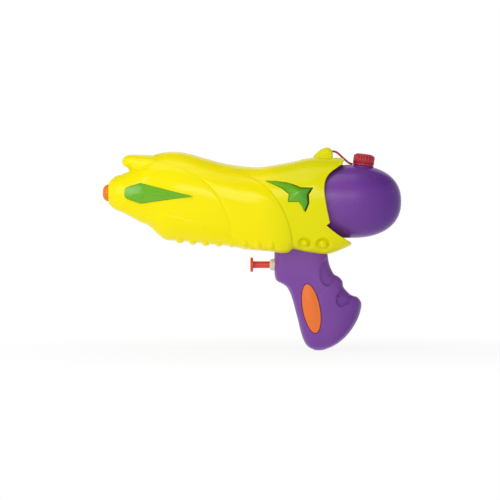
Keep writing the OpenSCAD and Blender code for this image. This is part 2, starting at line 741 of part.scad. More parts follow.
// Tube swept along a list of points with one bore, in the plane of the part
function tube_ring(p, dir, r) = [for (j = [0:tube_sides - 1])
    let (a = 360 * j / tube_sides, n = [-dir[1], dir[0]])
    [p[0] + n[0] * r * cos(a), r * sin(a), p[1] + n[1] * r * cos(a)]];
function unit(v) = v / norm(v);
function heading(path, i) = unit(path[min(i + 1, len(path) - 1)] - path[max(i - 1, 0)]);
module water_tube(path) {
    last = len(path) - 1;
    outer = tube_over / 2;
    bore = tube_bore / 2 / cos(180 / tube_sides);
    out = [for (i = [0:last]) tube_ring(path[i], heading(path, i), outer)];
    in = [for (i = [last:-1:0]) tube_ring(path[i], heading(path, i), bore)];
    loop_rings = concat(out, in);
    rings = len(loop_rings);
    polyhedron([for (r = loop_rings) each r], [for (i = [0:rings - 1], j = [0:tube_sides - 1])
        let (a = i * tube_sides + j, b = i * tube_sides + (j + 1) % tube_sides,
             c = ((i + 1) % rings) * tube_sides + j, d = ((i + 1) % rings) * tube_sides + (j + 1) % tube_sides)
        each [[a, b, d], [a, d, c]]]);
}
function bezier(p, t) = pow(1 - t, 3) * p[0] + 3 * t * pow(1 - t, 2) * p[1] + 3 * t * t * (1 - t) * p[2] + t * t * t * p[3];

outlet_barb_z = outlet_boss_top + connector_flange;
nozzle_barb_x = muzzle_x + shell_wall + rest_gap + nozzle_flange + nozzle_body;
module delivery_tube() {
    start = [port_x, outlet_barb_z + rest_gap];
    rise = [port_x, outlet_barb_z + barb_length];
    run = [nozzle_barb_x + barb_length, bore_z];
    stop = [nozzle_barb_x + rest_gap, bore_z];
    handles = [rise, rise + [0, delivery_rise], run + [delivery_run, 0], run];
    color("#dfe6ea") water_tube(concat([start], [for (i = [0:tube_steps]) bezier(handles, i / tube_steps)], [stop]));
}
inlet_barb_x = port_x + inlet_body_d / 2;
module suction_tube() {
    start = [inlet_barb_x + rest_gap, inlet_turn_z];
    centre = [suction_x - suction_bend, inlet_turn_z + suction_bend];
    color("#dfe6ea") water_tube(concat([start],
        [for (i = [0:8]) centre + suction_bend * [sin(90 * i / 8), -cos(90 * i / 8)]],
        [[suction_x, suction_top_z]]));
}

// Pump barrel with a valve boss above and below its chamber
module pump_barrel() {
    color("#f2ead8") difference() {
        union() {
            along_x(barrel_front_x + guide_flange, pump_z)
                cylinder(d = barrel_d, h = barrel_rear_x - barrel_front_x - guide_flange);
            along_x(flange_x, pump_z) cylinder(d = flange_d, h = flange_thickness);
            translate([port_x, 0, pump_z]) cylinder(d = boss_d, h = outlet_boss_top - pump_z);
            translate([port_x, 0, inlet_boss_foot]) cylinder(d = boss_d, h = pump_z - inlet_boss_foot);
        }
        along_x(barrel_front_x, pump_z) cylinder(d = barrel_bore, h = chamber_end_x - barrel_front_x);
        translate([port_x, 0, pump_z]) cylinder(d = port_d, h = far / 4);
        translate([port_x, 0, outlet_seat_z]) cylinder(d = ball_room_d, h = far / 4);
        translate([port_x + port_d / 2, 0, pump_z - far / 20]) cylinder(d = port_d, h = far / 20);
        translate([port_x, 0, inlet_boss_foot - 1]) cylinder(d = ball_room_d, h = pump_z - barrel_bore / 2 - 1 - inlet_boss_foot);
    }
}

module rod_guide() {
    color("#f7f1e4") along_x(barrel_front_x, pump_z) difference() {
        union() {
            cylinder(d1 = guide_flange_d - 1, d2 = guide_flange_d, h = guide_flange / 2);
            translate([0, 0, guide_flange / 2]) cylinder(d = guide_flange_d, h = guide_flange / 2 - rest_gap);
            cylinder(d = barrel_bore - 2 * slide_fit, h = guide_length);
        }
        translate([0, 0, -1]) cylinder(d = rod_d + 2 * slide_fit, h = guide_length + 2);
    }
}

// Plug that holds the outlet ball and carries the delivery tube
module outlet_spigot() {
    color("#f2ead8") translate([port_x, 0, outlet_boss_top]) difference() {
        union() {
            translate([0, 0, -spigot_reach]) cylinder(d = ball_room_d - 2 * slide_fit, h = spigot_reach + 1);
            translate([0, 0, rest_gap]) cylinder(d = boss_d, h = connector_flange - rest_gap);
            cylinder(d = barb_d, h = connector_flange + barb_length);
        }
        translate([0, 0, -spigot_reach - 1]) cylinder(d = barb_bore, h = far / 4);
    }
}

// Plug that seats the inlet ball and turns the suction line towards the tank
module inlet_elbow() {
    color("#f2ead8") difference() {
        union() {
            translate([port_x, 0, inlet_boss_foot - 1])
                cylinder(d = ball_room_d - 2 * slide_fit, h = inlet_seat_z - inlet_boss_foot + 1);
            translate([port_x, 0, inlet_boss_foot - connector_flange])
                cylinder(d = boss_d, h = connector_flange - rest_gap);
            translate([port_x, 0, inlet_turn_z - inlet_body_d / 2])
                cylinder(d = inlet_body_d, h = inlet_boss_foot - 1 - inlet_turn_z + inlet_body_d / 2);
            along_x(port_x, inlet_turn_z) cylinder(d = barb_d, h = inlet_body_d / 2 + barb_length);
        }
        translate([port_x, 0, inlet_turn_z]) cylinder(d = port_d, h = far / 4);
        along_x(port_x, inlet_turn_z) cylinder(d = barb_bore, h = far / 4);
    }
}

module inlet_ball() { color("#c9ced2") translate([port_x, 0, inlet_seat_z + seat_rise]) sphere(d = ball_d); }
module outlet_ball() { color("#c9ced2") translate([port_x, 0, outlet_seat_z + seat_rise]) sphere(d = ball_d); }

// Plunger: dished finger head, rod and piston with a seal groove
module trigger_plunger() {
    rod_end = stop_x + rest_gap;
    groove = seal_wire + 2 * slide_fit;
    color("#d8402f") along_x(head_x, pump_z) difference() {
        union() {
            cylinder(d = head_d, h = head_thickness);
            cylinder(d = rod_d, h = rod_end - head_x + 1);
            translate([0, 0, rod_end - head_x]) cylinder(d = barrel_bore - 4 * slide_fit, h = piston_length - 2 * rest_gap);
        }
        translate([0, 0, dish_depth - (pow(head_d / 2, 2) + pow(dish_depth, 2)) / (2 * dish_depth)])
            sphere(r = (pow(head_d / 2, 2) + pow(dish_depth, 2)) / (2 * dish_depth));
        translate([0, 0, rod_end - head_x + piston_length / 2 - groove / 2]) difference() {
            cylinder(d = barrel_bore + 1, h = groove);
            translate([0, 0, -1]) cylinder(d = barrel_bore - 2 * groove, h = groove + 2);
        }
    }
}
module piston_seal() {
    color("#222326") along_x(stop_x + rest_gap + piston_length / 2, pump_z)
        rotate_extrude() translate([barrel_bore / 2 - seal_wire / 2 - slide_fit / 2, 0]) circle(d = seal_wire, $fn = 32);
}

// Return spring between the piston and the chamber's end
module return_spring() {
    start = stop_x + piston_length + spring_wire / 2 + rest_gap;
    reach = chamber_end_x - start - spring_wire / 2 - rest_gap;
    mean_r = barrel_bore / 2 - spring_wire - 0.4;
    steps = spring_turns * spring_rings;
    color("#b9bec3") translate([0, 0, pump_z]) skin([for (i = [0:steps])
        let (a = 360 * i / spring_rings)
        [for (j = [0:spring_sides - 1])
            let (b = -360 * j / spring_sides, r = mean_r + spring_wire / 2 * cos(b))
            [start + reach * i / steps + spring_wire / 2 * sin(b), r * cos(a), r * sin(a)]]]);
}

// Identical self-tapping screws, driven from the right side
module screw() {
    tube_along_y(screw_d, -(screw_length - screw_seat), screw_seat + 1);
    tube_along_y(screw_head_d, screw_seat + rest_gap, screw_seat + rest_gap + screw_head);
}
module shell_screws() { color("#a9adb0") for (p = shell_screw_places) translate([p[0], 0, p[1]]) screw(); }
module grip_screws() { color("#a9adb0") for (p = grip_screw_places) translate([p[0], 0, p[1]]) screw(); }

// Fluted cap with a full round crown edge
module screw_cap() {
    inside = neck_d + 2 * thread_room;
    color("#b8323f") on_neck() translate([0, 0, cap_z]) difference() {
        rotate_extrude() difference() {
            hull() {
                square([cap_d / 2, 1]);
                translate([0, cap_height - 1]) square([cap_d / 2 - cap_edge, 1]);
                translate([cap_d / 2 - 0.3 - cap_edge, cap_height - cap_edge]) circle(r = cap_edge, $fn = 32);
            }
            translate([-cap_d, -1]) square([cap_d, cap_height + 2]);
            translate([0, -1]) square([inside / 2, cap_height - cap_top_wall + 1]);
        }
        for (i = [0:cap_flutes - 1]) rotate([0, 0, 360 * i / cap_flutes])
            translate([cap_d / 2 + flute_d * 0.2, 0, -1]) cylinder(d = flute_d, h = cap_height - cap_edge + 1.4, $fn = 24);
    }
}
module cap_liner() {
    top = cap_z + cap_height - cap_top_wall;
    color("#e8e4da") on_neck() translate([0, 0, top - liner_thickness - rest_gap])
        cylinder(d = neck_d + thread_room, h = liner_thickness);
}
module tether_ring() {
    color("#b8323f") on_neck() translate([0, 0, ring_z]) difference() {
        cylinder(d = cap_d + 0.8, h = ring_thickness);
        translate([0, 0, -1]) cylinder(d = neck_d + 2 * thread_room, h = ring_thickness + 2);
    }
}

// Tether strap: its route from the rear sight to the ring
strap_root_z = crest(shell_share(sight_x)) + sight_rise + 3.2;
strap_root_x = sight_x + sight_face - 2.5;
strap_steps = 14;
strap_room = 0.1;
strap_ring_edge = cap_d / 2 + 0.4 + 2 * loose_fit;
strap_ring_mid = ring_z + ring_thickness / 2;
strap_foot = [neck_x - strap_ring_edge * cos(neck_lean) + strap_ring_mid * sin(neck_lean),
              neck_z + strap_ring_edge * sin(neck_lean) + strap_ring_mid * cos(neck_lean)];
strap_root = [strap_root_x, strap_root_z];
strap_handles = [strap_root + [2.5, 0], strap_root + [7, 0], strap_foot + [-6, 4.4], strap_foot];
strap_route = [for (i = [0:strap_steps]) bezier(strap_handles, i / strap_steps)];
module cap_tether() {
    half_t = strap_thickness / 2;
    half_w = strap_width / 2;
    path = concat([strap_root], strap_route);
    color("#b8323f") skin([for (i = [0:len(path) - 1])
        let (p = path[i], d = heading(path, i), n = [-d[1], d[0]] * half_t)
        [[p[0] - n[0], -half_w, p[1] - n[1]], [p[0] - n[0], half_w, p[1] - n[1]],
         [p[0] + n[0], half_w, p[1] + n[1]], [p[0] + n[0], -half_w, p[1] + n[1]]]]);
}

left_shell();
right_shell();
left_grip();
right_grip();
tank();
left_gem();
right_gem();
left_star();
right_star();
left_inlay();
right_inlay();
nozzle();
delivery_tube();
suction_tube();
pump_barrel();
rod_guide();
inlet_elbow();
outlet_spigot();
inlet_ball();
outlet_ball();
tank_grommet();
return_spring();
shell_screws();
grip_screws();
cap_tether();
tether_ring();
screw_cap();
cap_liner();
trigger_plunger();
piston_seal();
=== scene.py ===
"""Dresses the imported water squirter: moulded skins, fitted trim, worn plastics and a soft studio."""

import logging
import math
from dataclasses import Field, dataclass, field
from enum import Enum
from typing import Sequence

import bmesh
import bpy
import numpy as np
from bpy.types import Material, Node, NodeSocket, NodeTree, Object
from mathutils import Matrix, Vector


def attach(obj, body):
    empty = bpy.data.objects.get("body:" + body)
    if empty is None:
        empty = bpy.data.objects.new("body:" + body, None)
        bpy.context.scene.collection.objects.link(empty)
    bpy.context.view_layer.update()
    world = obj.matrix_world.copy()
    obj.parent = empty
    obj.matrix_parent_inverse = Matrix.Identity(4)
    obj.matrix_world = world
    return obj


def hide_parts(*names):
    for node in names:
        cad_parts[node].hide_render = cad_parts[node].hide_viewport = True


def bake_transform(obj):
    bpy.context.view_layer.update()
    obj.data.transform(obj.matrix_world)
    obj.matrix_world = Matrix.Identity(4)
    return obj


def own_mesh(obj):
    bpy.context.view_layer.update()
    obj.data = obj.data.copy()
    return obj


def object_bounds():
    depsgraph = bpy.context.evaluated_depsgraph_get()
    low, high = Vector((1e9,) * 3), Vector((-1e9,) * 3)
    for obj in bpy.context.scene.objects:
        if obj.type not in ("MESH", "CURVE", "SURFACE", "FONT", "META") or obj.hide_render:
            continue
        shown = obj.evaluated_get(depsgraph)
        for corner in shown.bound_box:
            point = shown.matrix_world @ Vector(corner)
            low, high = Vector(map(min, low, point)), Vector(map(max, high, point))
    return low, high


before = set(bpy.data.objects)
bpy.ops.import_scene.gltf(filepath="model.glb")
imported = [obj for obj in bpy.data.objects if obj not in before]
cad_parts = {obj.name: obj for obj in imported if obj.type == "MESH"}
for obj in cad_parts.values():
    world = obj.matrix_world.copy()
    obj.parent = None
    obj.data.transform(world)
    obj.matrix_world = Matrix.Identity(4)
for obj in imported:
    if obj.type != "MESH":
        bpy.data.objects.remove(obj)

CAD_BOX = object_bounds()
LOG = logging.getLogger("squirter")
MM = 0.001
MERGE, SLIVER = 2e-6, 1e-6
Array = np.ndarray
Triple = tuple[float, float, float]
Pair = tuple[float, float]
Pairs = tuple[Pair, ...]
Floats = tuple[float, ...]
Faces = list[tuple[int, ...]]
Link = tuple[Node, str | int, Node, str | int]


class Slot(Enum):
    """Material slots of the record."""

    SHELL = "yellow_shell"
    GRIP = "purple_grip"
    TANK = "purple_tank"
    INLAY = "green_inlay"
    TRIM = "orange_trim"
    TUBE = "clear_tube"
    PUMP = "cream_pump"
    BALL = "valve_ball"
    RUBBER = "black_rubber"
    SPRING = "spring_steel"
    SCREW = "screw_steel"
    CAP = "red_cap"
    LINER = "white_liner"
    TRIGGER = "red_trigger"


class Body(Enum):
    """Moving bodies of the record."""

    MAIN = "body"
    TRIGGER = "trigger"
    RING = "cap_ring"
    CAP = "cap"


class Side(Enum):
    """Halves of the case: the photograph shows the left one."""

    LEFT = "left"
    RIGHT = "right"


# Shared arithmetic


def linear(colour: Triple) -> tuple[float, float, float, float]:
    """Turns a colour of 0 to 255 as seen on screen into a shader colour.

    Args:
        colour: red, green and blue from 0 to 255.

    Returns:
        Linear red, green, blue and alpha.
    """
    shares = [c / 255 for c in colour]
    values = [s / 12.92 if s <= 0.04045 else ((s + 0.055) / 1.055) ** 2.4 for s in shares]
    return (*values, 1.0)


def through_rows(rows: Array, column: int, x: Array) -> Array:
    """Reads one column of a table of sections on a smooth curve through its rows.

    Args:
        rows: table whose first column rises.
        column: the column that is read.
        x: places in the first column.

    Returns:
        The values at those places.
    """
    keys, values = rows[:, 0], rows[:, column]
    last = len(keys) - 1
    before, after = np.maximum(np.arange(last + 1) - 1, 0), np.minimum(np.arange(last + 1) + 1, last)
    slope = (values[after] - values[before]) / (keys[after] - keys[before])
    x = np.asarray(x, float)
    i = np.clip(np.searchsorted(keys, x) - 1, 0, last - 1)
    h = keys[i + 1] - keys[i]
    s = (x - keys[i]) / h
    return ((2 * s**3 - 3 * s**2 + 1) * values[i] + (s**3 - 2 * s**2 + s) * slope[i] * h
            + (3 * s**2 - 2 * s**3) * values[i + 1] + (s**3 - s**2) * slope[i + 1] * h)


def bulge(v: Array, power: Array | float) -> Array:
    """Half width share of a superellipse at a height share from -1 to 1."""
    return np.maximum(0.0, 1 - np.abs(v) ** power) ** (1 / power)


def mix(a: Array | float, b: Array | float, t: Array | float) -> Array:
    """Goes from a to b as t goes from 0 to 1."""
    return a + (b - a) * t


def ramp(a: float, b: float, x: Array) -> Array:
    """Rises softly from 0 at a to 1 at b."""
    t = np.clip((x - a) / (b - a), 0, 1)
    return t * t * (3 - 2 * t)


def both_ends(count: int) -> Array:
    """Steps from 0 to 1 that crowd towards both ends."""
    return 0.5 - 0.5 * np.cos(np.pi * np.arange(count + 1) / count)


def turned(rx: float = 0, ry: float = 0, rz: float = 0, at: Triple = (0, 0, 0)) -> Matrix:
    """Builds a placing: turns about X, then Y, then Z, and then a move.

    Args:
        rx: degrees about X.
        ry: degrees about Y.
        rz: degrees about Z.
        at: the move in millimetres.

    Returns:
        The placing as a matrix.
    """
    turn = (Matrix.Rotation(math.radians(rz), 4, "Z") @ Matrix.Rotation(math.radians(ry), 4, "Y")
            @ Matrix.Rotation(math.radians(rx), 4, "X"))
    return Matrix.Translation(at) @ turn


def placed(name: str, data: bpy.types.ID) -> Object:
    """Puts a new object into the scene.

    Args:
        name: the object's name.
        data: its mesh, lamp or camera.

    Returns:
        The new object.
    """
    made = bpy.data.objects.new(name, data)
    bpy.context.scene.collection.objects.link(made)
    return made


@dataclass
class Form:
    """Points in millimetres and the faces between them."""

    points: Array
    faces: Faces

    def plus(self, *others: "Form") -> "Form":
        """Puts other forms beside this one.

        Args:
            others: the forms to add.

        Returns:
            One form with all of them.
        """
        points, faces = [self.points], list(self.faces)
        start = len(self.points)
        for other in others:
            points.append(other.points)
            faces += [tuple(i + start for i in f) for f in other.faces]
            start += len(other.points)
        return Form(np.concatenate(points), faces)

    def moved(self, placing: Matrix) -> "Form":
        """Places the form."""
        m = np.array(placing)
        return Form(self.points @ m[:3, :3].T + m[:3, 3], self.faces)

    def on(self, side: Side) -> "Form":
        """The left form as it is, or mirrored for the right side."""
        flipped = [tuple(reversed(f)) for f in self.faces]
        return self if side is Side.LEFT else Form(self.points * np.array([1, -1, 1]), flipped)

    def made(self, name: str) -> Object:
        """Makes the form an object in metres, with closed seams and outward faces.

        Args:
            name: the object's name.

        Returns:
            The new object.
        """
        mesh = bpy.data.meshes.new(name)
        mesh.from_pydata((self.points * MM).tolist(), [], self.faces)
        tidy = bmesh.new()
        tidy.from_mesh(mesh)
        bmesh.ops.remove_doubles(tidy, verts=tidy.verts, dist=MERGE)
        bmesh.ops.dissolve_degenerate(tidy, edges=tidy.edges, dist=SLIVER)
        bmesh.ops.recalc_face_normals(tidy, faces=tidy.faces)
        tidy.to_mesh(mesh)
        tidy.free()
        return placed(name, mesh)


def grid_faces(columns: int, rows: int, start: int = 0, wrap: bool = False) -> Faces:
    """Faces of a grid of points.

    Args:
        columns: number of columns of points.
        rows: number of points in each.
        start: index of the first point.
        wrap: whether each column is a closed loop.

    Returns:
        Quads of point indices.
    """
    spans = rows if wrap else rows - 1
    return [(start + c * rows + j, start + (c + 1) * rows + j,
             start + (c + 1) * rows + (j + 1) % rows, start + c * rows + (j + 1) % rows)
            for c in range(columns - 1) for j in range(spans)]


def loft(rings: Array) -> Form:
    """Closed solid through rings of points, capped at both ends.

    Args:
        rings: array of rings, each a closed loop of points.

    Returns:
        The solid.
    """
    count, sides = rings.shape[:2]
    faces = grid_faces(count, sides, wrap=True)
    faces += [tuple(range(sides)), tuple(reversed(range((count - 1) * sides, count * sides)))]
    return Form(rings.reshape(-1, 3), faces)


def walled(outer: Array, inner: Array) -> Form:
    """Solid wall between an outer and an inner grid of the same layout.

    Args:
        outer: grid of points of the skin.
        inner: grid of points of the room inside.

    Returns:
        The closed wall, with rims on all four edges.
    """
    columns, rows = outer.shape[:2]
    base = columns * rows
    faces = grid_faces(columns, rows) + [tuple(reversed(f)) for f in grid_faces(columns, rows, base)]
    edges = ([(c * rows, (c + 1) * rows) for c in range(columns - 1)]
             + [(c * rows + rows - 1, (c + 1) * rows + rows - 1) for c in range(columns - 1)]
             + [(j, j + 1) for j in range(rows - 1)]
             + [((columns - 1) * rows + j, (columns - 1) * rows + j + 1) for j in range(rows - 1)])
    faces += [(a, b, b + base, a + base) for a, b in edges]
    return Form(np.concatenate([outer.reshape(-1, 3), inner.reshape(-1, 3)]), faces)


def lathe(profile: Sequence[Pair], sides: int = 64, ring: bool = False) -> Form:
    """Turns a profile about the local Z axis.

    Args:
        profile: radius and height of each point.
        sides: number of steps round.
        ring: whether the profile is a closed loop, as for a ring or a tube.

    Returns:
        The turned solid.
    """
    shape = np.array(list(profile) + ([profile[0]] if ring else []))
    angle = 2 * np.pi * np.arange(sides) / sides
    rings = np.stack([np.outer(shape[:, 0], np.cos(angle)), np.outer(shape[:, 0], np.sin(angle)),
                      np.repeat(shape[:, 1:], sides, axis=1)], axis=2)
    if ring:
        return Form(rings.reshape(-1, 3), grid_faces(len(shape), sides, wrap=True))
    return loft(rings)


def rounded(corners: Sequence[Triple], steps: int = 6) -> list[Pair]:
    """Rounds the corners of a profile.

    Args:
        corners: radius, height and corner radius of each point.
        steps: number of steps on each round.

    Returns:
        Points of the rounded profile.
    """
    out: list[Pair] = []
    for i, (x, y, r) in enumerate(corners):
        if r <= 0 or i in (0, len(corners) - 1):
            out.append((x, y))
            continue
        here = np.array([x, y])
        back, ahead = np.array(corners[i - 1][:2]) - here, np.array(corners[i + 1][:2]) - here
        back, ahead = back / np.linalg.norm(back), ahead / np.linalg.norm(ahead)
        half = math.acos(float(np.clip(back @ ahead, -1, 1))) / 2
        reach = r / math.tan(half)
        for t in np.linspace(0, 1, steps + 1):
            a, b = here + back * reach, here + ahead * reach
            p = (1 - t) ** 2 * a + 2 * t * (1 - t) * here + t**2 * b
            out.append((float(p[0]), float(p[1])))
    return out


def prism(outline: Sequence[Sequence[float]], low: float, high: float) -> Form:
    """Prism of a flat outline between two heights of its own frame."""
    flat = np.array(outline, float)
    return loft(np.stack([np.column_stack([flat, np.full(len(flat), h)]) for h in (low, high)]))


def grown(outline: Sequence[Sequence[float]], by: float) -> Array:
    """Moves the sides of an outline outwards.

    Args:
        outline: corners in order round the outline.
        by: the distance.

    Returns:
        The wider outline.
    """
    flat = np.array(outline, float)
    after = np.roll(flat, -1, axis=0)
    area = np.sum(flat[:, 0] * after[:, 1] - after[:, 0] * flat[:, 1])
    along = (after - flat) / np.linalg.norm(after - flat, axis=1)[:, None]
    normal = np.column_stack([along[:, 1], -along[:, 0]]) * np.sign(area)
    earlier = np.roll(normal, 1, axis=0)
    share = np.maximum(1 + np.sum(normal * earlier, axis=1), 0.25)
    return flat + by * (normal + earlier) / share[:, None]


def cut(piece: Object, cutter: Form) -> None:
    """Cuts a form out of a piece.

    Args:
        piece: the closed piece.
        cutter: the closed form that is taken away.
    """
    tool = cutter.made(piece.name + "_cutter")
    cutting = piece.modifiers.new("cut", "BOOLEAN")
    cutting.operation, cutting.solver, cutting.object = "DIFFERENCE", "EXACT", tool
    settle_mesh(piece)
    bpy.data.objects.remove(tool)


def settle_mesh(piece: Object) -> None:
    """Turns a piece with modifiers into its plain evaluated mesh.

    Args:
        piece: the piece.
    """
    depsgraph = bpy.context.evaluated_depsgraph_get()
    mesh = bpy.data.meshes.new_from_object(piece.evaluated_get(depsgraph), depsgraph=depsgraph)
    piece.modifiers.clear()
    old, piece.data = piece.data, mesh
    bpy.data.meshes.remove(old)


def join(piece: Object, other: Object) -> None:
    """Adds another object's mesh to a piece.

    Args:
        piece: the piece.
        other: the object that goes into it.
    """
    both = bmesh.new()
    both.from_mesh(piece.data)
    both.from_mesh(other.data)
    both.to_mesh(piece.data)
    both.free()
    bpy.data.objects.remove(other)


def soften(piece: Object, width: float, angle: float, segments: int) -> None:
    """Rounds the sharp edges of a piece.

    Args:
        piece: the piece.
        width: width of the round in millimetres.
        angle: edges sharper than this many degrees are rounded.
        segments: steps across the round.
    """
    edge = piece.modifiers.new("edge", "BEVEL")
    edge.width, edge.segments = width * MM, segments
    edge.limit_method, edge.angle_limit = "ANGLE", math.radians(angle)
    edge.use_clamp_overlap = True
    settle_mesh(piece)


def smooth(piece: Object, angle: float = 32) -> None:
    """Shades a piece smooth, with edges sharper than an angle kept crisp."""
    piece.data.polygons.foreach_set("use_smooth", [True] * len(piece.data.polygons))
    piece.data.set_sharp_from_angle(angle=math.radians(angle))


# Node trees


class Wiring:
    """Adds and links the nodes of one tree."""

    def __init__(self, tree: NodeTree) -> None:
        """Keeps the tree."""
        self.tree = tree

    @staticmethod
    def group(name: str, inputs: dict[str, float | None],
              *outputs: tuple[str, str]) -> tuple["Wiring", Node, Node]:
        """Starts a shader group.

        Args:
            name: the group's name.
            inputs: default value of each named input, None for a colour.
            outputs: name and socket type of each output.

        Returns:
            The wiring, the input node and the output node.
        """
        w = Wiring(bpy.data.node_groups.new(name, "ShaderNodeTree"))
        for label, value in inputs.items():
            w.socket(label, "Color" if value is None else "Float", value)
        for label, kind in outputs:
            w.socket(label, kind, out=True)
        return w, w.add("NodeGroupInput"), w.add("NodeGroupOutput")

    def add(self, kind: str, setup: dict[str, object] | None = None, **values: object) -> Node:
        """Adds a node.

        Args:
            kind: the node's type, without its prefix where that is the tree's own.
            setup: attributes of the node.
            values: input values by name, with _ for a space.

        Returns:
            The new node.
        """
        own = self.tree.bl_idname.removesuffix("Tree")
        node = self.tree.nodes.new(kind if "Node" in kind else own + kind)
        for name, value in (setup or {}).items():
            setattr(node, name, value)
        self.fill(node, **values)
        return node

    @staticmethod
    def fill(node: Node, **values: object) -> None:
        """Sets input values of a node by name, with _ for a space."""
        for name, value in values.items():
            node.inputs[name.replace("_", " ")].default_value = value

    @staticmethod
    def material(name: str) -> tuple[Material, "Wiring", Node]:
        """Starts a material.

        Args:
            name: the material's name.

        Returns:
            The material, its wiring and its shader node.
        """
        material = bpy.data.materials.new(name)
        material.use_nodes = True
        return material, Wiring(material.node_tree), material.node_tree.nodes["Principled BSDF"]

    def math(self, operation: str) -> Node:
        """Adds a sum of one kind."""
        return self.add("ShaderNodeMath", {"operation": operation})

    def join(self, source: NodeSocket, target: NodeSocket) -> None:
        """Links one socket to another."""
        self.tree.links.new(source, target)

    def link(self, *links: Link) -> None:
        """Links sockets, each given as source node, its output, target node and its input."""
        for source, output, target, entry in links:
            self.join(source.outputs[output], target.inputs[entry])

    def tone(self, share: NodeSocket, near: NodeSocket,
             far: NodeSocket | Floats, target: NodeSocket) -> None:
        """Mixes two colours.

        Args:
            share: share of the second colour.
            near: the first colour.
            far: the second colour, as a socket or as it is.
            target: the socket that takes the result.
        """
        blend = self.add("Mix", {"data_type": "RGBA"})
        first, second = [s for s in blend.inputs if s.type == "RGBA"]
        self.join(share, blend.inputs["Factor"])
        self.join(near, first)
        if isinstance(far, tuple):
            second.default_value = far
        else:
            self.join(far, second)
        self.join([s for s in blend.outputs if s.type == "RGBA"][0], target)

    def socket(self, name: str, kind: str, value: object = None, out: bool = False) -> str:
        """Adds a named input or output of a group.

        Args:
            name: the socket's name.
            kind: the socket's type without its prefix.
            value: default value.
            out: whether it is an output.

        Returns:
            The socket's identifier.
        """
        way = "OUTPUT" if out else "INPUT"
        made = self.tree.interface.new_socket(name, in_out=way, socket_type="NodeSocket" + kind)
        if value is not None:
            made.default_value = value
        return made.identifier


class Effects:
    """Surface effects that several finishes share, each a shader group that is built once."""

    rubbed: Floats = (0.8, 0.78, 0.76, 1.0)

    def __init__(self) -> None:
        """Builds the groups."""
        self.flow = self._flow()
        self.grain = self._grain()
        self.scuffs = self._scuffs()
        # Painted shade along the length; the trim also uses it for its two tones.
        self.tail = self._tail_tone_and_shade()

    @staticmethod
    def _tail_tone_and_shade() -> NodeTree:
        """Slow change of a colour towards a second one along the length: painted shade that darkens the rear
        of the shell, grip, tank and star, and on the trim the change of tone from the nozzle to the oval.

        Returns:
            The group.
        """
        w, given, out = Wiring.group(
            "tail_tone", {"Colour": None, "Tail Colour": None, "From": 0.0, "To": 0.0}, ("Colour", "Color"))
        place, apart = w.add("TexCoord"), w.add("SeparateXYZ")
        level = w.add("MapRange", {"interpolation_type": "SMOOTHSTEP"})
        w.link((place, "Object", apart, 0), (apart, "X", level, "Value"), (given, "From", level, "From Min"),
               (given, "To", level, "From Max"))
        w.tone(level.outputs["Result"], given.outputs["Colour"], given.outputs["Tail Colour"],
               out.inputs["Colour"])
        return w.tree

    @staticmethod
    def _flow() -> NodeTree:
        """Cloudy tone of moulded plastic, a little towards a second colour.

        Returns:
            The group.
        """
        w, given, out = Wiring.group(
            "mould_flow", {"Colour": None, "Shade": None, "Amount": 0.3, "Scale": 30.0}, ("Colour", "Color"))
        place = w.add("TexCoord")
        cloud = w.add("TexNoise", Detail=3.0, Roughness=0.55, Distortion=0.6)
        level = w.add("MapRange", From_Min=0.32, From_Max=0.7)
        w.link((place, "Object", cloud, "Vector"), (given, "Scale", cloud, "Scale"),
               (cloud, "Fac", level, "Value"), (given, "Amount", level, "To Max"))
        w.tone(level.outputs["Result"], given.outputs["Colour"], given.outputs["Shade"],
               out.inputs["Colour"])
        return w.tree

    @staticmethod
    def _grain() -> NodeTree:
        """Skin of a mould: long soft waves, fine grain and patches of higher polish.

        Returns:
            The group.
        """
        w, given, out = Wiring.group(
            "mould_grain",
            {"Wave Scale": 60.0, "Grain Scale": 1500.0, "Grain": 0.3, "Polish": 0.3, "Spread": 0.05},
            ("Height", "Float"), ("Roughness", "Float"))
        place = w.add("TexCoord")
        wave, fine = w.add("TexNoise", Detail=1.0), w.add("TexNoise", Detail=2.0)
        polish = w.add("TexNoise", Scale=45.0, Detail=4.0)
        height, offset, rough = w.math("MULTIPLY_ADD"), w.math("SUBTRACT"), w.math("MULTIPLY_ADD")
        offset.inputs[1].default_value = 0.5
        w.link(*((place, "Object", texture, "Vector") for texture in (wave, fine, polish)),
               (given, "Wave Scale", wave, "Scale"), (given, "Grain Scale", fine, "Scale"),
               (fine, "Fac", height, 0), (given, "Grain", height, 1), (wave, "Fac", height, 2),
               (polish, "Fac", offset, 0), (offset, "Value", rough, 0), (given, "Spread", rough, 1),
               (given, "Polish", rough, 2), (height, "Value", out, "Height"),
               (rough, "Value", out, "Roughness"))
        return w.tree

    def _scuffs(self) -> NodeTree:
        """Sparse hair scratches and rubs that lighten a colour.

        Returns:
            The group.
        """
        w, given, out = Wiring.group(
            "handling_scuffs", {"Colour": None, "Amount": 0.2, "Scale": 90.0}, ("Colour", "Color"))
        place = w.add("TexCoord")
        slant = w.add("Mapping", Rotation=(0.5, 0.7, 0.3), Scale=(0.35, 1.0, 1.6))
        cells = w.add("TexVoronoi", {"feature": "DISTANCE_TO_EDGE"})
        line = w.add("MapRange", From_Min=0.0, From_Max=0.016, To_Min=1.0, To_Max=0.0)
        patch = w.add("TexNoise", Scale=38.0, Detail=2.0)
        sparse = w.add("MapRange", From_Min=0.56, From_Max=0.72)
        both, amount = w.math("MULTIPLY"), w.math("MULTIPLY")
        w.link((place, "Object", slant, "Vector"), (slant, "Vector", cells, "Vector"),
               (given, "Scale", cells, "Scale"), (cells, "Distance", line, "Value"),
               (place, "Object", patch, "Vector"), (patch, "Fac", sparse, "Value"),
               (line, "Result", both, 0), (sparse, "Result", both, 1), (both, "Value", amount, 0),
               (given, "Amount", amount, 1))
        w.tone(amount.outputs["Value"], given.outputs["Colour"], self.rubbed, out.inputs["Colour"])
        return w.tree


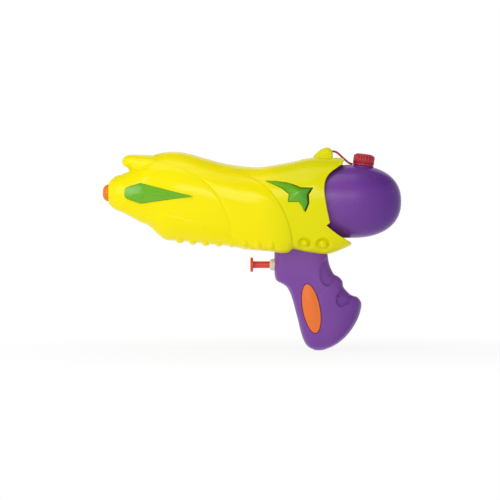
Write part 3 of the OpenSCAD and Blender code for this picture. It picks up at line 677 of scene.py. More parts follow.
@dataclass(frozen=True)
class MouldedFinish:
    """Moulded plastic or rubber with cloudy tone, mould grain, light scuffs and a tail colour along the
    length, which is painted shade on most finishes.
    """

    slot: Slot
    colour: Triple
    shade: Triple
    polish: float = 0.3
    spread: float = 0.06
    flow: float = 0.5
    flow_scale: float = 22.0
    wave_scale: float = 55.0
    grain: float = 0.15
    grain_scale: float = 1400.0
    bump: float = 0.06
    bump_depth: float = 0.001
    scuff: float = 0.12
    specular: float = 0.4
    glow: float = 0.0
    glow_reach: Triple = (0.004, 0.003, 0.002)
    clear: float = 0.0
    metal: float = 0.0
    # Tail colour and its span along X: painted shade towards the rear, and on the trim the oval's own tone.
    tail: Triple | None = None
    tail_tone_and_shade_at: Pair = (0.0, 0.0)

    def build(self, effects: Effects) -> Material:
        """Builds the material.

        Args:
            effects: the shared surface effects.

        Returns:
            The material.
        """
        material, w, shader = Wiring.material(self.slot.value)
        w.fill(shader, Specular_IOR_Level=self.specular, Subsurface_Weight=self.glow,
               Subsurface_Radius=self.glow_reach, Subsurface_Scale=1.0, Transmission_Weight=self.clear,
               Metallic=self.metal)
        flow = w.add("Group", {"node_tree": effects.flow}, Colour=linear(self.colour),
                     Shade=linear(self.shade), Amount=self.flow, Scale=self.flow_scale)
        scuff = w.add("Group", {"node_tree": effects.scuffs}, Amount=self.scuff)
        grain = w.add("Group", {"node_tree": effects.grain}, Wave_Scale=self.wave_scale,
                      Grain_Scale=self.grain_scale, Grain=self.grain, Polish=self.polish, Spread=self.spread)
        # Painted shade: the tail colour blends in along the length and darkens the rear; on the trim it is
        # the oval's own tone.
        if self.tail:
            tail = w.add("Group", {"node_tree": effects.tail}, Colour=linear(self.colour),
                         Tail_Colour=linear(self.tail), From=self.tail_tone_and_shade_at[0], To=self.tail_tone_and_shade_at[1])
            w.link((tail, "Colour", flow, "Colour"))
        bump = w.add("Bump", Strength=self.bump, Distance=self.bump_depth)
        w.link((flow, "Colour", scuff, "Colour"), (scuff, "Colour", shader, "Base Color"),
               (grain, "Roughness", shader, "Roughness"), (grain, "Height", bump, "Height"),
               (bump, "Normal", shader, "Normal"))
        return material


@dataclass(frozen=True)
class MetalFinish(MouldedFinish):
    """Drawn or plated steel with fine lines and a dull bloom."""

    shade: Triple = (120, 122, 125)
    spread: float = 0.15
    flow: float = 0.4
    flow_scale: float = 400.0
    wave_scale: float = 700.0
    grain: float = 0.4
    grain_scale: float = 4000.0
    bump: float = 0.08
    bump_depth: float = 0.0005
    scuff: float = 0.0
    specular: float = 0.5
    metal: float = 1.0


FINISHES: tuple[MouldedFinish, ...] = (
    # Painted shade: the shell turns a darker, greener yellow towards its rear, where less lamp light falls.
    MouldedFinish(Slot.SHELL, (247, 231, 0), (238, 224, 0), polish=0.15, spread=0.04, bump=0.035, scuff=0.05,
                  specular=0.14, grain=0.06, flow=0.25, tail=(226, 221, 0), tail_tone_and_shade_at=(-0.056, -0.022)),
    # Painted shade: the grip darkens towards its rear.
    MouldedFinish(Slot.GRIP, (125, 74, 159), (113, 62, 150), polish=0.36, spread=0.08, bump=0.07, scuff=0.06,
                  grain=0.3, specular=0.2, tail=(110, 60, 145), tail_tone_and_shade_at=(-0.002, 0.034)),
    # Painted shade: the tank darkens towards its rear.
    MouldedFinish(Slot.TANK, (117, 61, 153), (102, 46, 143), polish=0.28, spread=0.1, bump=0.09, scuff=0.14,
                  wave_scale=38.0, specular=0.33, flow_scale=17.0, tail=(84, 31, 132),
                  tail_tone_and_shade_at=(0.015, 0.072)),
    # Painted shade: the star turns a darker, deeper green towards its rear tip; the gem keeps the base
    # colour.
    MouldedFinish(Slot.INLAY, (110, 180, 20), (88, 172, 26), polish=0.17, spread=0.05, bump=0.03, scuff=0.06,
                  flow_scale=60.0, tail=(82, 172, 38), tail_tone_and_shade_at=(-0.026, -0.01)),
    MouldedFinish(Slot.TRIM, (233, 127, 12), (228, 116, 22), bump=0.08, flow_scale=60.0, wave_scale=140.0,
                  specular=0.25, flow=0.3, tail=(238, 118, 54), tail_tone_and_shade_at=(-0.15, -0.05)),
    MouldedFinish(Slot.CAP, (186, 44, 58), (168, 34, 50), polish=0.36, flow_scale=90.0),
    MouldedFinish(Slot.TRIGGER, (222, 66, 48), (206, 52, 40), scuff=0.15, flow_scale=90.0),
    MouldedFinish(Slot.PUMP, (236, 224, 208), (226, 210, 190), polish=0.34, bump=0.05, scuff=0.05, glow=0.25,
                  flow_scale=120.0),
    MouldedFinish(Slot.LINER, (232, 228, 218), (220, 214, 202), polish=0.5, bump=0.08, scuff=0.0, glow=0.1),
    MouldedFinish(Slot.RUBBER, (34, 34, 37), (46, 46, 50), polish=0.55, bump=0.1, scuff=0.05),
    MouldedFinish(Slot.TUBE, (224, 231, 236), (208, 218, 226), polish=0.2, bump=0.04, scuff=0.0, clear=0.6),
    MetalFinish(Slot.SPRING, (196, 200, 204), polish=0.28),
    MetalFinish(Slot.SCREW, (176, 179, 182), polish=0.34),
    MetalFinish(Slot.BALL, (206, 210, 214), polish=0.12),
)


class Tree(Enum):
    """Geometry Nodes trees."""

    RIBS_ON_PATH = "ribs_on_path"
    RIBS_ON_RING = "ribs_on_ring"
    COIL = "coil"
    ON_POINTS = "on_points"


class Trees:
    """Geometry Nodes trees for what repeats or follows a path."""

    def __init__(self) -> None:
        """Builds the trees."""
        self.trees: dict[Tree, tuple[NodeTree, dict[str, str]]] = {}
        self._ribs_on_path()
        self._ribs_on_ring()
        self._coil()
        self._on_points()

    def _new(self, tree: Tree, inputs: dict[str, str]) -> tuple[Wiring, Node, Node]:
        """Starts a tree with named inputs, the last of them its material.

        Args:
            tree: the tree.
            inputs: socket type of each named input.

        Returns:
            The wiring, the input node and the output node.
        """
        w = Wiring(bpy.data.node_groups.new(tree.value, "GeometryNodeTree"))
        w.socket("Geometry", "Geometry", out=True)
        w.socket("Geometry", "Geometry")
        ids = {label: w.socket(label, kind) for label, kind in (inputs | {"Material": "Material"}).items()}
        self.trees[tree] = (w.tree, ids)
        return w, w.add("NodeGroupInput"), w.add("NodeGroupOutput")

    @staticmethod
    def _close(w: Wiring, made: Node, given: Node, out: Node) -> None:
        """Ends a tree: instances made real, shaded smooth and given their material.

        Args:
            w: the tree's wiring.
            made: the node that puts out the geometry so far.
            given: the input node.
            out: the output node.
        """
        real, soft, dress = w.add("RealizeInstances"), w.add("SetShadeSmooth"), w.add("SetMaterial")
        w.link((made, 0, real, 0), (real, 0, soft, 0), (soft, 0, dress, "Geometry"),
               (given, "Material", dress, "Material"), (dress, 0, out, 0))

    def _ribs_on_path(self) -> None:
        """Round ribs along the edges of a guide mesh."""
        w, given, out = self._new(Tree.RIBS_ON_PATH, {"Rib Radius": "Float"})
        path, sweep = w.add("MeshToCurve"), w.add("CurveToMesh", Fill_Caps=True)
        round_ = w.add("CurvePrimitiveCircle", Resolution=14)
        w.link((given, "Geometry", path, 0), (given, "Rib Radius", round_, "Radius"),
               (path, 0, sweep, "Curve"), (round_, 0, sweep, "Profile Curve"))
        self._close(w, sweep, given, out)

    def _ribs_on_ring(self) -> None:
        """Round-topped upright ribs on a ring."""
        w, given, out = self._new(Tree.RIBS_ON_RING, {
            "Ribs": "Int", "Ring Radius": "Float", "Rib Radius": "Float", "Rib Height": "Float"})
        ring = w.add("MeshCircle")
        bar = w.add("MeshCylinder", Vertices=14, Side_Segments=1, Fill_Segments=1)
        top = w.add("MeshUVSphere", Segments=14, Rings=7)
        half, lift = w.math("MULTIPLY"), w.add("ShaderNodeCombineXYZ")
        raised, whole = w.add("Transform"), w.add("JoinGeometry")
        spread = w.add("InstanceOnPoints")
        half.inputs[1].default_value = 0.5
        w.link((given, "Ribs", ring, "Vertices"), (given, "Ring Radius", ring, "Radius"),
               (given, "Rib Radius", bar, "Radius"), (given, "Rib Radius", top, "Radius"),
               (given, "Rib Height", bar, "Depth"), (given, "Rib Height", half, 0), (half, 0, lift, "Z"),
               (top, 0, raised, "Geometry"), (lift, 0, raised, "Translation"), (bar, 0, whole, 0),
               (raised, 0, whole, 0), (ring, 0, spread, "Points"), (whole, 0, spread, "Instance"))
        self._close(w, spread, given, out)

    def _coil(self) -> None:
        """Round wire or thread wound about the local Z axis."""
        w, given, out = self._new(Tree.COIL, {
            "Turns": "Float", "Coil Radius": "Float", "Rise": "Float", "Wire Radius": "Float"})
        spiral = w.add("CurveSpiral", Resolution=40)
        round_ = w.add("CurvePrimitiveCircle", Resolution=10)
        sweep = w.add("CurveToMesh", Fill_Caps=True)
        w.link((given, "Turns", spiral, "Rotations"), (given, "Coil Radius", spiral, "Start Radius"),
               (given, "Coil Radius", spiral, "End Radius"), (given, "Rise", spiral, "Height"),
               (given, "Wire Radius", round_, "Radius"), (spiral, 0, sweep, "Curve"),
               (round_, 0, sweep, "Profile Curve"))
        self._close(w, sweep, given, out)

    def _on_points(self) -> None:
        """Copies of one object on points, each turned about Y by chance with a fixed seed."""
        w, given, out = self._new(Tree.ON_POINTS, {"Copied": "Object"})
        points, source = w.add("MeshToPoints"), w.add("ObjectInfo", As_Instance=True)
        chance = w.add("FunctionNodeRandomValue", {"data_type": "FLOAT"}, Seed=7)
        turn, spread = w.add("ShaderNodeCombineXYZ"), w.add("InstanceOnPoints")
        w.join([s for s in chance.outputs if s.type == "VALUE" and s.enabled][0], turn.inputs["Y"])
        w.link((given, "Geometry", points, 0), (given, "Copied", source, "Object"),
               (points, 0, spread, "Points"), (source, "Geometry", spread, "Instance"),
               (turn, 0, spread, "Rotation"))
        self._close(w, spread, given, out)


class Workshop:
    """Materials, trees and the last step of every piece."""

    def __init__(self) -> None:
        """Builds the effects, the materials and the trees."""
        effects = Effects()
        self.materials = {finish.slot: finish.build(effects) for finish in FINISHES}
        self.trees = Trees().trees

    def grow(self, tree: Tree, name: str, slot: Slot, guide: Form | None = None, edges: Sequence = (),
             placing: Matrix | None = None, **inputs: object) -> Object:
        """Runs a tree and keeps its result as a plain mesh.

        Args:
            tree: the tree.
            name: the new piece's name.
            slot: its material slot.
            guide: points, in millimetres, that the tree works on.
            edges: edges between the guide's points.
            placing: where the result goes, in millimetres.
            inputs: values of the named inputs, with _ for a space; lengths in metres.

        Returns:
            The finished piece.
        """
        mesh = bpy.data.meshes.new(name)
        mesh.from_pydata((guide.points * MM).tolist() if guide else [(0, 0, 0)], list(edges), [])
        piece = placed(name, mesh)
        making = piece.modifiers.new("making", "NODES")
        making.node_group, ids = self.trees[tree]
        for label, value in (inputs | {"Material": self.materials[slot]}).items():
            making[ids[label.replace("_", " ")]] = value
        settle_mesh(piece)
        if placing is not None:
            metres = placing.copy()
            metres.translation = placing.translation * MM
            piece.data.transform(metres)
        return piece

    def dress(self, piece: Object, slot: Slot) -> None:
        """Gives a new piece its finish.

        Args:
            piece: the piece.
            slot: its material slot.
        """
        piece.data.materials.clear()
        piece.data.materials.append(self.materials[slot])

    def fit(self, piece: Object, slot: Slot, body: Body, *nodes: str) -> None:
        """Dresses a piece, joins it to its body and lets it stand for CAD nodes.

        Args:
            piece: the piece.
            slot: its material slot.
            body: the body that it rides on.
            nodes: the CAD nodes that it replaces.
        """
        self.dress(piece, slot)
        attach(piece, body.value)
        self.stand_in(piece, *nodes)

    def stand_in(self, piece: Object, *nodes: str) -> None:
        """Lets a piece stand for CAD nodes and reports it.

        Args:
            piece: the piece.
            nodes: the CAD nodes that it replaces.
        """
        if nodes:
            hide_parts(*nodes)
        LOG.info("%s: %d faces, for %s", piece.name, len(piece.data.polygons), ", ".join(nodes) or "no node")

    def repaint(self, slot: Slot, *nodes: str) -> None:
        """Gives CAD nodes that keep their shape a better finish.

        Args:
            slot: the material slot.
            nodes: the CAD nodes.
        """
        for node in nodes:
            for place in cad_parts[node].material_slots:
                place.material = self.materials[slot]
            LOG.info("%s: repainted", node)


# Sub-assemblies


def table(rows: list[list[float]]) -> Field:
    """Field of a size class that holds a table of sections."""
    return field(default_factory=lambda: np.array(rows, float))


@dataclass(frozen=True)
class ScrewWell:
    """Screw wells with their bosses, on the screw side of the case."""

    boss_r: float
    well_r: float = 2.75
    pilot_r: float = 1.4
    seat: float = 7.0
    boss_foot: float = 5.2
    outside: float = 60.0
    sides: int = 32

    def forms(self, places: Sequence[Pair], tops: Sequence[float]) -> tuple[Form, Form]:
        """Makes the wells on the left side.

        Args:
            places: place and height of each screw.
            tops: distance from the parting plane at which each boss ends.

        Returns:
            The cutter and the boss tubes.
        """
        r, seat, foot, far = self.well_r, self.seat, self.boss_foot, self.outside
        hole = lathe([(0, seat), (r, seat), (r, far), (0, far)], self.sides)
        holes, tubes = [], []
        for (x, z), top in zip(places, tops):
            tube = lathe([(self.pilot_r, foot), (self.boss_r, foot), (self.boss_r, top), (r, top), (r, seat),
                          (self.pilot_r, seat)], self.sides, True)
            place = turned(rx=90, at=(x, 0, z))
            holes.append(hole.moved(place))
            tubes.append(tube.moved(place))
        return holes[0].plus(*holes[1:]), tubes[0].plus(*tubes[1:])


@dataclass
class Shell:
    """Yellow two-half shell: folded skin, crest horn, rear sight, belly ribs, studs and screw wells."""

    length: float = 219.0
    height: float = 91.8
    width: float = 59.0
    wall: float = 2.0
    muzzle_x: float = -188.0
    belly_z: float = 39.6
    bore_z: float = 94.6
    nozzle_hole_r: float = 5.9
    face_steps: Floats = (0.0, 0.08, 0.55, 0.93)
    face_dish: Floats = (0.5, 0.0, -0.05, -0.02)
    seam: float = 0.3
    seam_land: float = 0.4
    least_room: float = 0.5
    crisp: float = 34.0

    rows_above: int = 104
    rows_below: int = 44
    row_crowd: Pair = (1.25, 1.3)
    flank_rows: tuple[int, int] = (50, 75)
    columns: tuple[int, int, int] = (72, 58, 84)
    sections: Array = table([
        [0, 70.8, 34, 2.2, 2.2], [2.3, 75.9, 48, 2.2, 2.2], [5.5, 78.5, 58, 2.2, 2.2],
        [12.8, 87, 71, 2.3, 2.3], [17, 95.6, 77.5, 2.3, 2.3], [21, 98.9, 83, 2.3, 2.3],
        [26, 100.3, 89, 2.3, 2.3], [32, 98.8, 94, 2.3, 2.3], [40, 93.4, 98, 2.4, 2.4],
        [49, 88.2, 100, 2.4, 2.6], [61, 85.1, 100, 2.4, 3.2], [69.5, 87.9, 99.5, 2.4, 4.2],
        [75, 90.2, 99, 2.4, 4.5], [82, 94, 99, 2.4, 4.5], [90.4, 94.6, 98, 2.4, 4.5],
        [100, 93.4, 92, 2.4, 4.5]])
    belly_rows: Array = table([
        [0, 48.4], [2.3, 43.8], [5.5, 40.5], [12.8, 31.4], [16.5, 27.5], [19.7, 20], [22.1, 15.4],
        [23.8, 13.5], [27.4, 13], [32, 12], [37, 10.8], [42.3, 9.6], [47.9, 8.7], [51.4, 7], [56, 4.6],
        [61, 3.3], [67.3, 2.1], [69.8, 0.6], [73.5, 0.8], [75, 3], [82, 0.7], [90.4, 0], [100, 9]])

    folds: Pairs = ((0, 0), (19.7, 50.4), (43.5, 75.2))
    step: float = 1.1
    rear_round: float = 0.7
    root_reach: Pair = (14, 16)
    root_more: float = 0.4
    hollow: Pair = (0.4, 5)
    relief_fade: Pair = (9, 0.8)
    crease: float = 0.65
    crease_line: Array = table([
        [0, 0], [0.06, 0.005], [0.11, 0.06], [0.173, 0.32], [0.24, 0.534], [0.285, 0.66], [0.355, 0.77],
        [0.515, 0.883], [0.655, 0.948], [0.85, 0.99], [1, 1]])
    crease_grow: Pair = (0.4, 1.0)
    crease_grow_at: Pair = (0.15, 0.4)
    crease_reach: Pair = (9, 4.2)
    crease_reach_at: Pair = (0.2, 0.45)
    crease_under_ledge: float = 6

    shoulders: tuple[tuple[Floats, Floats], ...] = (
        ((-94.5, -74.7, -56.7, -44.1, -36), (101.7, 99.9, 95, 87.3, 80)), ((-46, -3, 30), (97, 101.7, 104)))
    shoulder_rise: float = 0.5
    shoulder_fall: Pair = (4.5, 10)
    shoulder_ends: Pair = (8, 9)

    ledge: Array = table([
        [-188, 88], [-167.7, 78.2], [-150, 76.6], [-131.7, 74.7], [-112.2, 69.5], [-91.2, 59.9], [-77.7, 55],
        [-40, 52], [0, 54], [31, 58]])
    ledge_rise: float = 0.9375
    ledge_limit: float = 0.97
    ledge_tries: int = 24
    lip_width: Pair = (5, 1.8)
    lip_narrows: Pair = (-128, -100)
    lip_fades: Pair = (8, 26)
    lip_starts: Pair = (-178, -120)
    lip_ends: float = 7
    lip_groove: Pair = (0.15, 2.5)

    rear_edge: Array = table([
        [-120.6, 21.4], [-116.8, 16.2], [-111.9, 9.9], [-106, 6.2], [-99, 4.8], [-91.7, 5.3], [-80, 7.1],
        [-67.4, 9.9]])
    rear_close: float = 0.75
    tail_lip: Pairs = ((6.7, 64.8), (12.5, 60.1), (17.8, 56.1), (23.1, 53.0), (29.4, 48.0))
    tail_wall_x: Pair = (9.0, 11.0)
    tank_gap: float = 0.3
    crest_tip: Pair = (22.8, 124.6)

    horn_rows: Array = table([
        [-176.45, 123.2, 122.6, 0.3], [-176.1, 124.7, 121.1, 2.6], [-175.1, 126.2, 119.6, 4.7],
        [-173.4, 127.6, 118.2, 6.5], [-170.8, 128.5, 116.9, 8], [-166.5, 128.95, 115.4, 9.6],
        [-160, 128.95, 113.2, 12.2], [-153, 128.7, 110, 15.2], [-147, 128.3, 106, 17.4],
        [-140, 127.2, 102, 18.6], [-134, 124.5, 100, 18]])
    horn_nose: Pair = (6, 6.6)
    horn_square: float = 0.92
    horn_proud: float = 0.25
    horn_skirt_at: float = 0.85
    horn_skirt_curve: float = 1.6
    horn_skirt_least: float = 0.6
    horn_tuck: float = 3
    horn_blend: Pair = (-172.5, -166)
    brow: tuple[Floats, Floats] = (
        (-176, -168, -151, -133, -121), (114, 115.2, 115.2, 113.4, 111.6))

    sight_rows: Array = table([
        [-5.4, 125.4, 1.2], [-4.4, 126.9, 3], [-2.6, 129.2, 4.6], [0.6, 132.3, 5.9], [4.2, 134.5, 6.7],
        [8, 135.6, 7], [10.6, 134.9, 6.9], [12.2, 133.2, 6.6], [13.1, 131, 6.2], [13.3, 128.6, 6]])
    sight_split: Pair = (10.5, 10.7)
    sight_square: Pair = (0.9, 0.8)
    sight_sink: float = 4

    studs: Pairs = ((-12.6, 48.4), (3.8, 47.6))
    stud_r: Pair = (4.1, 4.7)
    stud_groove: float = 2.6
    stud_groove_width: float = 1.35
    stud_dome: float = 1.2
    screws: Pairs = ((-158, 78), (-126, 120), (-96, 60), (-62, 107), (-24, 114), (-10, 51))
    well: ScrewWell = ScrewWell(boss_r=4.3)
    left_windows: Pair = (-8, -8)
    right_windows: Pair = (-1.9, 0.3)

    ribs: int = 8
    rib_first: float = 63.8
    rib_pitch: float = 11.7
    rib_r: float = 4.6
    rib_points: int = 41
    rib_proud: Floats = (2.2, 2.35, 2.4, 2.05, 1.2, 0.5, 0.2, 0.2)
    rib_flank: Floats = (0, 0, 0, 0.3, 0.8, 1.3, 1.6, 1.6)
    rib_flank_starts: Pair = (0.35, 0.65)
    rib_flank_ends: Pair = (0.8, 1)
    rib_turn: Floats = (0.52, 0.52, 0.52, 0.56, 0.62, 0.68, 0.72, 0.72)
    rib_end: Pair = (0.4, 1)
    rib_end_sink: float = 0.4

    def share(self, x: Array) -> Array:
        """Place along the length, from muzzle 0 to tail 100."""
        return np.clip((np.asarray(x, float) - self.muzzle_x) / self.length * 100, 0, 100)

    def crest(self, share: Array) -> Array:
        """Height of the crest line."""
        return self.belly_z + self.height * through_rows(self.sections, 1, share) / 100

    def belly(self, share: Array) -> Array:
        """Height of the belly line."""
        return self.belly_z + self.height * through_rows(self.belly_rows, 1, share) / 100

    def half_width(self, share: Array) -> Array:
        """Half width of a section."""
        return self.width / 2 * through_rows(self.sections, 2, share) / 100

    def power(self, share: Array, v: Array) -> Array:
        """Squareness of a section above or below its middle."""
        return np.where(v > 0, through_rows(self.sections, 3, share), through_rows(self.sections, 4, share))

    def skin_y(self, x: float, z: float) -> float:
        """Depth of the bare skin at a place in the side view.

        Args:
            x: place along the length.
            z: height.

        Returns:
            Distance from the parting plane.
        """
        s = self.share(np.array(x))
        top, foot = self.crest(s), self.belly(s)
        v = (2 * z - top - foot) / (top - foot)
        return float(self.half_width(s) * bulge(v, self.power(s, v)))

    def on_skin(self, x: float, z: float, ahead: float, behind: float, updown: float,
                sink: float = 0) -> Matrix:
        """Frame that lies on the skin, with +Z outwards.

        Args:
            x: place along the length.
            z: height.
            ahead: reach towards the muzzle over which the frame is level.
            behind: reach towards the tail.
            updown: reach up and down.
            sink: how far the frame lies below the skin.

        Returns:
            The placing.
        """
        along = (self.skin_y(x + behind, z) - self.skin_y(x - ahead, z)) / (ahead + behind)
        up = (self.skin_y(x, z + updown) - self.skin_y(x, z - updown)) / (2 * updown)
        lean = turned(rx=math.degrees(math.atan(up)), rz=-math.degrees(math.atan(along)),
                      at=(x, sink - self.skin_y(x, z), z))
        return lean @ turned(rx=90)

    def edge_x(self, z: Array) -> Array:
        """Rear edge of the shell by height.

        Args:
            z: heights.

        Returns:
            Places of the edge.
        """
        steps = np.linspace(self.rear_edge[0, 0], self.rear_edge[-1, 0], 60)
        heights = np.concatenate([[200, self.crest_tip[1]], -steps, [p[1] for p in self.tail_lip], [0]])
        places = np.concatenate([[self.crest_tip[0]] * 2, through_rows(self.rear_edge, 1, steps),
                                 [p[0] for p in self.tail_lip], [self.tail_lip[-1][0]]])
        return np.interp(-np.asarray(z), -heights, places)

    def height_at(self, share: Array, v: Array) -> Array:
        """Height of a point of a section by its share from belly -1 to crest 1."""
        return mix(self.belly(share), self.crest(share), (1 + v) / 2)

    def fold_share(self, fold: int, v: Array) -> Array:
        """Place of a fold line, a quarter round from crest to belly.

        Args:
            fold: number of the fold line; the last is the rear edge.
            v: height shares from 1 to -1.

        Returns:
            Places along the length.
        """
        if fold == len(self.folds):
            s = np.linspace(76, 100, 900)
            reached = (self.muzzle_x + self.length * s / 100)[None] >= self.edge_x(
                self.height_at(s[None], np.ravel(v)[:, None]))
            first = np.where(reached.any(1), reached.argmax(1), len(s) - 1)
            return s[first].reshape(np.shape(v))
        top, foot = self.folds[fold]
        q = (1 - v) / 2
        if fold == 1:
            return mix(top, foot, np.clip(through_rows(self.crease_line, 1, q), 0, 1))
        return mix(top, foot, np.sqrt(np.maximum(0, 1 - (1 - q) ** 2)))

    def relief(self, fold: int, lead: Array, trail: Array, drop: Array, x: Array,
               z: Array, v: Array, studs: Sequence[Pair]) -> Array:
        """Moulded relief of the skin: folds with rounded edges, the ledge over the belly and the studs.

        Args:
            fold: number of the fold, from the muzzle.
            lead: distance from the fold's front edge.
            trail: distance from its rear edge.
            drop: height of the ledge line over each point.
            x: place along the length.
            z: height.
            v: height share from belly -1 to crest 1.
            studs: places of the studs.

        Returns:
            How far the skin stands proud.
        """
        below = (1 - v) / 2
        low = (mix(*self.crease_grow, ramp(*self.crease_grow_at, below))
               * (1 - ramp(0, self.crease_under_ledge, drop)))
        lip_width = mix(*self.lip_width, ramp(*self.lip_narrows, x))
        lip = (1 - np.clip(1 - drop / lip_width, 0, 1) ** 2) * (drop > 0) * (1 - ramp(*self.lip_fades, drop))
        lip -= self.lip_groove[0] * np.exp(-np.abs(drop) / self.lip_groove[1])
        if fold == 0:
            reach = mix(*self.crease_reach, ramp(*self.crease_reach_at, below))
            return (self.ledge_rise * ramp(*self.lip_starts, x) * lip
                    - low * self.crease * (1 - np.clip(trail / reach, 0, 1)) ** 2)
        if fold == 1:
            root, edge = low * self.crease * np.exp(-lead / self.root_reach[0]), self.step
        else:
            root, edge = (self.step + self.root_more) * np.exp(-lead / self.root_reach[1]), self.rear_round
        out = -root - edge * (1 - np.sqrt(1 - np.clip(1 - trail / edge, 0, 1) ** 2))
        if fold == 1:
            out += (self.ledge_rise * lip * (1 - ramp(0, self.lip_ends, lead))
                    - self.hollow[0] * np.exp(-trail / self.hollow[1]))
        over = z - np.interp(x, *self.shoulders[fold - 1])
        above, under = self.shoulder_fall
        ridge = np.where(over > 0, np.exp(-(over / above) ** 2), np.clip(1 + over / under, 0, 1) ** 2)
        out += (self.shoulder_rise * ridge * ramp(0, self.shoulder_ends[0], lead)
                * ramp(0, self.shoulder_ends[1], trail))
        for (stud_x, stud_z), radius in zip(studs, self.stud_r[-len(studs):]):
            r = np.hypot(x - stud_x, z - stud_z)
            out += (self.stud_dome * np.clip(1 - (r / radius) ** 2, 0, 1)
                    - self.stud_groove * np.exp(-((r - radius) / self.stud_groove_width) ** 2))
        return out

    def skin(self, studs: Sequence[Pair]) -> tuple[Array, Array]:
        """Outer and inner grid of the left half, from muzzle to rear edge and from crest to belly.

        Args:
            studs: places of the studs.

        Returns:
            Both grids of points.
        """
        ledge = self.ledge.copy()
        ledge[:, 0] = self.share(ledge[:, 0])
        outer, inner, reliefs = [], [], []
        upper = 1 - (1 - np.linspace(0, 1, self.rows_above + 1)) ** self.row_crowd[0]
        lower = np.linspace(0, 1, self.rows_below + 1)[1:] ** self.row_crowd[1]
        for fold, count in enumerate(self.columns):
            for e in both_ends(count)[(0 if fold == 0 else 1):]:
                def place(v: Array) -> Array:
                    """Share of this column at height shares."""
                    return mix(self.fold_share(fold, v), self.fold_share(fold + 1, v), e)
                s_line = np.array([50.0])
                for _ in range(self.ledge_tries):
                    top, foot = self.crest(s_line), self.belly(s_line)
                    v_line = (2 * np.interp(s_line, ledge[:, 0], ledge[:, 1]) - top - foot) / (top - foot)
                    v_line = np.clip(v_line, -self.ledge_limit, self.ledge_limit)
                    s_line = place(v_line)
                bend = float(np.arccos(v_line)[0])
                theta = np.concatenate([bend * upper, bend + (np.pi - bend) * lower])
                v = np.cos(np.concatenate([[0], theta, [np.pi]]))
                s = place(v)
                w, shape = self.half_width(s), bulge(v, self.power(s, v))
                for row in (1, -2):
                    shape[row] = self.seam_land / w[row]
                x, z = self.muzzle_x + self.length * s / 100, self.height_at(s, v)
                span = (self.fold_share(fold + 1, v) - self.fold_share(fold, v)) * self.length / 100
                drop = np.interp(s, ledge[:, 0], ledge[:, 1]) - z
                outer.append(np.column_stack([x, -w * shape, z]))
                reliefs.append(self.relief(fold, e * span, (1 - e) * span, drop, x, z, v, studs))
                room = np.maximum(w - self.wall - self.step, self.least_room) * shape
                foot, top = self.belly(s) + self.wall, self.crest(s) - self.wall
                rear = float(ramp(self.rear_close, 1, np.array(e))) if fold == 2 else 0.0
                level = mix(mix(foot, top, (1 + v) / 2), z, rear * (1 - v**6))
                inner.append(np.column_stack([np.maximum(x, self.muzzle_x + self.wall), -room, level]))
        skin, room, proud = np.array(outer), np.array(inner), np.array(reliefs)
        normal = np.cross(np.gradient(skin, axis=0), np.gradient(skin, axis=1))
        normal /= np.linalg.norm(normal, axis=2)[..., None] + 1e-12
        normal *= -np.sign(normal[:, slice(*self.flank_rows), 1].mean())
        reach, curve = self.relief_fade
        skin += normal * (proud * np.clip(np.abs(skin[..., 1]) / reach, 0, 1) ** curve)[..., None]
        skin[:, 0, 2] -= self.seam
        skin[:, -1, 2] += self.seam
        skin[:, [0, -1], 1] = 0
        v = np.cos(np.linspace(0, np.pi, skin.shape[1]))
        hole = np.column_stack([np.full_like(v, self.muzzle_x), -self.nozzle_hole_r * np.sqrt(1 - v * v),
                                self.bore_z + self.nozzle_hole_r * v])
        face, back = ([mix(hole, rim, t) for t in self.face_steps] for rim in (skin[0], room[0]))
        for ring, x in zip(face, self.face_dish):
            ring[:, 0] = self.muzzle_x + x
        for ring in back:
            ring[:, 0] = self.muzzle_x + self.wall
        return np.concatenate([np.array(face), skin]), np.concatenate([np.array(back), room])

    def horn(self) -> Form:
        """Left half of the horn on the crest over the muzzle.

        Returns:
            The closed half.
        """
        rows = self.horn_rows
        x = np.concatenate([rows[0, 0] + self.horn_nose[0] * (1 - np.cos(np.linspace(0, np.pi / 2, 14))),
                            np.linspace(rows[0, 0] + self.horn_nose[1], rows[-1, 0], 36)])
        angle = np.linspace(0, np.pi, 41)
        top, foot, w = (through_rows(rows, c, x)[:, None] for c in (1, 2, 3))
        v = np.sign(np.cos(angle)) * np.abs(np.cos(angle)) ** self.horn_square
        y = w * np.abs(np.sin(angle)) ** self.horn_square
        z = mix(foot, top, (1 + v) / 2)
        brow = np.interp(x, *self.brow)
        skirt = np.array([self.skin_y(a, b) for a, b in zip(x, brow)])[:, None] + self.horn_proud
        down = np.clip((angle - np.pi / 2) / (np.pi / 2), 0, 1)
        reach, under = np.clip(down / self.horn_skirt_at, 0, 1), ramp(self.horn_skirt_at, 1, down)
        wide = np.maximum(skirt, w * self.horn_skirt_least)
        flare_y = mix(w, wide, reach**self.horn_skirt_curve) * (1 - under)
        flare_z = mix((top + foot) / 2, brow[:, None], reach) - self.horn_tuck * under
        blend = ramp(*self.horn_blend, x)[:, None] * (down > 0)
        rings = np.stack([np.broadcast_to(x[:, None], y.shape), -mix(y, flare_y, blend),
                          mix(z, flare_z, blend)], axis=2)
        rings[:, [0, -1], 1] = 0
        return loft(rings)

    def sight(self) -> Form:
        """Left half of the rear sight.

        Returns:
            The closed half.
        """
        rows = self.sight_rows
        x = np.concatenate([np.linspace(rows[0, 0], self.sight_split[0], 36),
                            np.linspace(self.sight_split[1], rows[-1, 0], 18)])
        angle = np.linspace(0, np.pi / 2, 25)
        top, w = (through_rows(rows, c, x)[:, None] for c in (1, 2))
        foot = self.crest(self.share(x))[:, None] - self.sight_sink
        y = -w * np.sin(angle) ** self.sight_square[0]
        z = mix(foot, top, np.cos(angle) ** self.sight_square[1])
        rings = np.stack([np.broadcast_to(x[:, None], z.shape), y, z], axis=2)
        base = np.stack([x, np.zeros_like(x), foot[:, 0]], axis=1)[:, None]
        return loft(np.concatenate([rings, base], axis=1))

